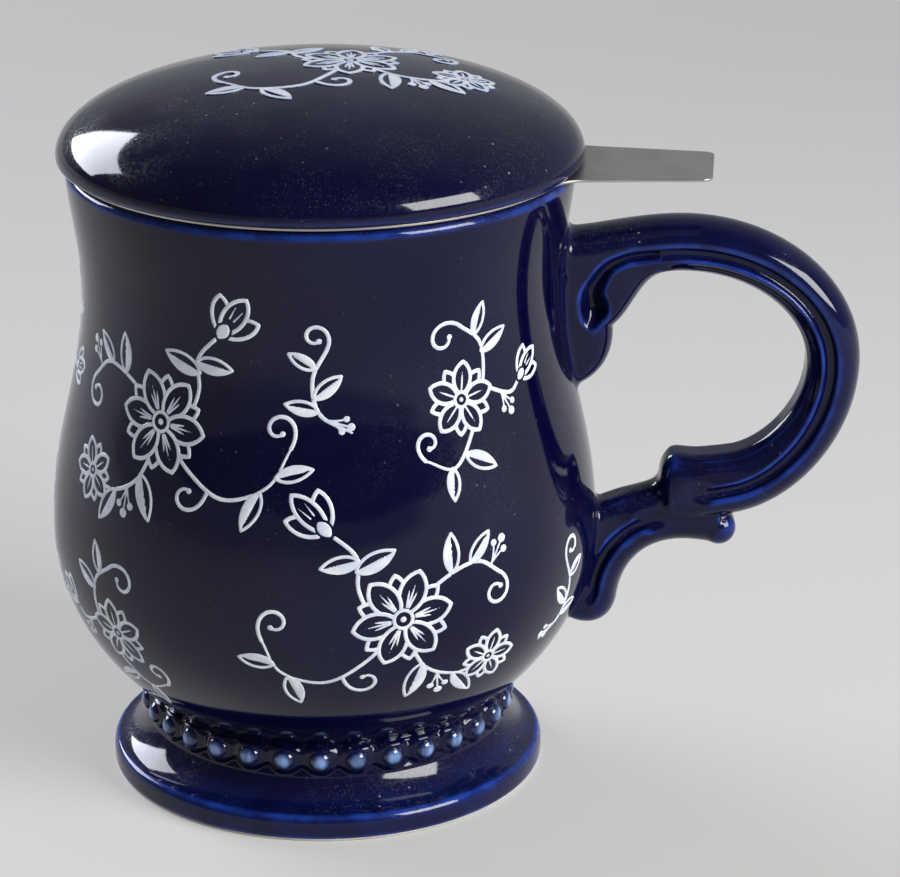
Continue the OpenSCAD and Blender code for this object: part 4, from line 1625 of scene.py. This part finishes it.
def turned(points, angle, mirror):
    """Points turned by an angle in degrees, after mirroring them left to right."""
    c, d = heading(angle)
    x = -points[:, 0] if mirror else points[:, 0]
    return np.column_stack([c * x - d * points[:, 1], d * x + c * points[:, 1]])


# Each spray on the bowl: its motif, its place in degrees from the front and in height, its own
# turn, and whether it is mirrored.
BOWL_SPRAYS = (
    (large_spray, 17, 46, -8, False),
    (large_spray, -36, 78, 12, True),
    (small_spray, 37, 84, 10, False),
    (small_spray, -50, 39, -12, True),
    (sprig, 2, 88, 20, False),
    (sprig, 62, 42, -24, True),
    (large_spray, -104, 48, 6, False),
    (small_spray, -92, 86, -18, False),
    (large_spray, -160, 77, -12, True),
    (small_spray, -161, 40, 16, False),
    (large_spray, 142, 47, 10, False),
    (small_spray, 139, 84, -10, True),
)


def bowl_slip(s, motifs):
    """The sprays round the bowl."""
    outside = bowl_outline(s)
    along, bowl_at = profile_wrap(outside)
    solid = Solid()
    for make, azimuth, z, angle, mirror in BOWL_SPRAYS:
        points, depth, faces = motifs[make]
        middle = np.interp(z, outside[:, 1], along)
        start = math.radians(azimuth - 90)

        def wrap(points, height):
            r, out, up = bowl_at(middle + points[:, 1], height)
            return cylindrical(out, start + points[:, 0] / r, up)

        order = [f[::-1] for f in faces] if mirror else faces
        solid.add(*shell(turned(points, angle, mirror), depth, order, s.slip.stand, wrap))
    return solid


def lid_slip(s, motifs):
    """The spray on the lid, a little off its middle."""
    dome = arc((0, s.lid.wide_z), s.lid.r, s.lid.dome_h, 90, 0, 400)
    _, dome_at = profile_wrap(dome)

    def wrap(points, height):
        _, out, up = dome_at(np.hypot(*points.T), height)
        return cylindrical(out, np.arctan2(points[:, 1], points[:, 0]), up)

    points, depth, faces = motifs[large_spray]
    flat = turned(points, 12, mirror=False) + (5, 3)
    return Solid().add(*shell(flat, depth, faces, s.slip.stand, wrap))


class MUG_OT_slip(bpy.types.Operator):
    """Trails the white slip drawing over the bowl and the lid"""

    bl_idname = "mug.slip"
    bl_label = "Slip drawing"

    def execute(self, context):
        s = settings()
        step = 0.18
        motifs = {make: traced(make(s.slip, step)) for make in (large_spray, small_spray, sprig)}
        place("slip_bowl", bowl_slip(s, motifs), "mug", "white_slip", "mug_bowl")
        place("slip_lid", lid_slip(s, motifs), "lid", "white_slip", "lid_dome")
        return {"FINISHED"}


# ---- Stage ----


def paper_material(studio):
    """Pale paper that glows where it is seen, in a painted grade of light that is paler near the
    mug and darker far behind, with painted shade at the front left where the glaze reflects it. The
    glow's share grows with distance.
    """
    paper = bpy.data.materials.new("pale_floor")
    paper.use_nodes = True
    tree = paper.node_tree
    shader = tree.nodes["Principled BSDF"]
    vector = node(tree, "TexCoord").outputs["Object"]
    shade = tuple(0.97 * c for c in studio.floor_grey)
    fibre = noise(tree, vector, 900.0, 3.0)
    feed(tree, shader, {
        "Base Color": mix_colour(tree, fibre, rgba(studio.floor_grey), rgba(shade)),
        "Roughness": 0.9,
        "Specular IOR Level": 0.1,
    })
    at = node(tree, "SeparateXYZ", {0: vector}).outputs
    # Painted light and shade: the glow is paler near the mug, darker far behind, and darker still
    # at the front left.
    back = ramp(tree, at["Y"], -0.1, 0.6)
    front = ramp(tree, plus(tree, at["Y"], times(tree, at["X"], 0.8)), -0.14, -0.9)
    painted_grade = mix_colour(tree, back, rgba(studio.painted_glow_near), rgba(studio.painted_glow_far))
    painted_grade = mix_colour(tree, front, painted_grade, rgba(studio.painted_shade_front))
    glow = node(tree, "Emission", {"Color": painted_grade, "Strength": 1.0}).outputs[0]
    path = node(tree, "LightPath").outputs
    seen = math_node(tree, "MAXIMUM", path["Is Camera Ray"], path["Is Glossy Ray"])
    seen = math_node(tree, "MAXIMUM", seen, path["Is Transmission Ray"])
    distance = node(tree, "VectorMath", {0: vector}, operation="LENGTH").outputs["Value"]
    own = ramp(tree, distance, 0.45, 1.1, 0.4, 1.0)
    mixed = node(tree, "MixShader", {0: times(tree, seen, own), 1: shader.outputs[0], 2: glow})
    feed(tree, tree.nodes["Material Output"], {"Surface": mixed.outputs[0]})
    return paper


def lay_floor(studio):
    """A round floor with its edge turned up."""
    far, bend = 2600, 150
    sweep = np.vstack([
        [(0, 0), (1000, 0), (far, 0)],
        arc((far, bend), bend, bend, -85, 0, 12),
    ])
    mesh = Solid().add(*lathe(sweep, 96)).mesh("floor")
    mesh.shade_smooth()
    mesh.materials.append(paper_material(studio))
    floor = new_object("floor", mesh)


def hang_box(name, glow, tint, turn, rise, distance, width, height):
    """A soft box that faces the mug, with its turn from the front and its rise in degrees."""
    light = bpy.data.lights.new(name, "AREA")
    light.shape, light.size, light.size_y = "RECTANGLE", width, height
    light.energy = glow * math.pi * width * height
    light.color = tint
    turn, rise = math.radians(turn), math.radians(rise)
    middle = 0.05
    lamp = new_object(name, light)
    lamp.location = (distance * math.cos(rise) * math.sin(turn),
                     -distance * math.cos(rise) * math.cos(turn),
                     distance * math.sin(rise) + middle)
    way = Vector((0, 0, middle)) - lamp.location
    lamp.rotation_euler = way.to_track_quat("-Z", "Y").to_euler()


def light_room(studio):
    """A dim room, paler at the back and towards the handle."""
    world = bpy.data.worlds.new("room")
    bpy.context.scene.world = world
    world.use_nodes = True
    tree = world.node_tree
    way = node(tree, "SeparateXYZ", {0: node(tree, "TexCoord").outputs["Generated"]}).outputs
    share = ramp(tree, plus(tree, way["Y"], times(tree, way["X"], 0.7)), 0.0, 1.1)
    pale = mix_colour(tree, share, rgba(studio.room_dark), rgba(studio.room_pale))
    feed(tree, tree.nodes["Background"], {"Color": pale})


def set_camera():
    """The camera that was fitted to the photo, looking down at the mug from the front."""
    tilt, lens, sensor = 69.93, 140.28, 36.0
    data = bpy.data.cameras.new("camera")
    data.sensor_width, data.lens = sensor, lens
    camera = new_object("camera", data)
    camera.location = (0.02294, -0.60207, 0.28208)
    camera.rotation_euler = (math.radians(tilt), 0, 0)
    bpy.context.scene.camera = camera
    bpy.context.scene.view_settings.view_transform = "Standard"


class MUG_OT_stage(bpy.types.Operator):
    """Lays the pale floor, hangs the soft boxes, lights the room and sets up the camera"""

    bl_idname = "mug.stage"
    bl_label = "Stage"

    def execute(self, context):
        studio = context.scene.tea_mug.studio
        lay_floor(studio)
        hang_box("left_box", studio.left_glow, (0.86, 0.89, 1.0), turn=-131, rise=25,
                 distance=2.2, width=1.36, height=0.94)
        hang_box("right_box", studio.right_glow, (1.0, 1.0, 1.0), turn=56.5, rise=23,
                 distance=2.0, width=1.11, height=0.85)
        light_room(studio)
        set_camera()
        return {"FINISHED"}


# ---- Add-on ----


class MUG_PT_sidebar(bpy.types.Panel):
    """Lists the mug's sizes and finishes, and a button for each piece"""

    bl_idname = "MUG_PT_sidebar"
    bl_label = "Tea mug"
    bl_space_type = "VIEW_3D"
    bl_region_type = "UI"
    bl_category = "Tea mug"

    def draw(self, context):
        for operator in OPERATORS:
            self.layout.operator(operator.bl_idname)
        for name, group in SETTINGS.items():
            box = self.layout.box()
            box.label(text=name.capitalize())
            for field in group.__annotations__:
                box.prop(getattr(context.scene.tea_mug, name), field)


OPERATORS = (
    MUG_OT_bowl,
    MUG_OT_bead_band,
    MUG_OT_foot,
    MUG_OT_handle,
    MUG_OT_lid,
    MUG_OT_infuser_rim,
    MUG_OT_basket,
    MUG_OT_slip,
    MUG_OT_stage,
)
CLASSES = (*SETTINGS.values(), MugSettings, *OPERATORS, MUG_PT_sidebar)


def register():
    for cls in CLASSES:
        bpy.utils.register_class(cls)
    bpy.types.Scene.tea_mug = PointerProperty(type=MugSettings)


def unregister():
    del bpy.types.Scene.tea_mug
    for cls in reversed(CLASSES):
        bpy.utils.unregister_class(cls)


def main():
    """Builds every piece in order."""
    register()
    for operator in OPERATORS:
        group, name = operator.bl_idname.split(".")
        getattr(getattr(bpy.ops, group), name)()


if __name__ == "__main__":
    main()
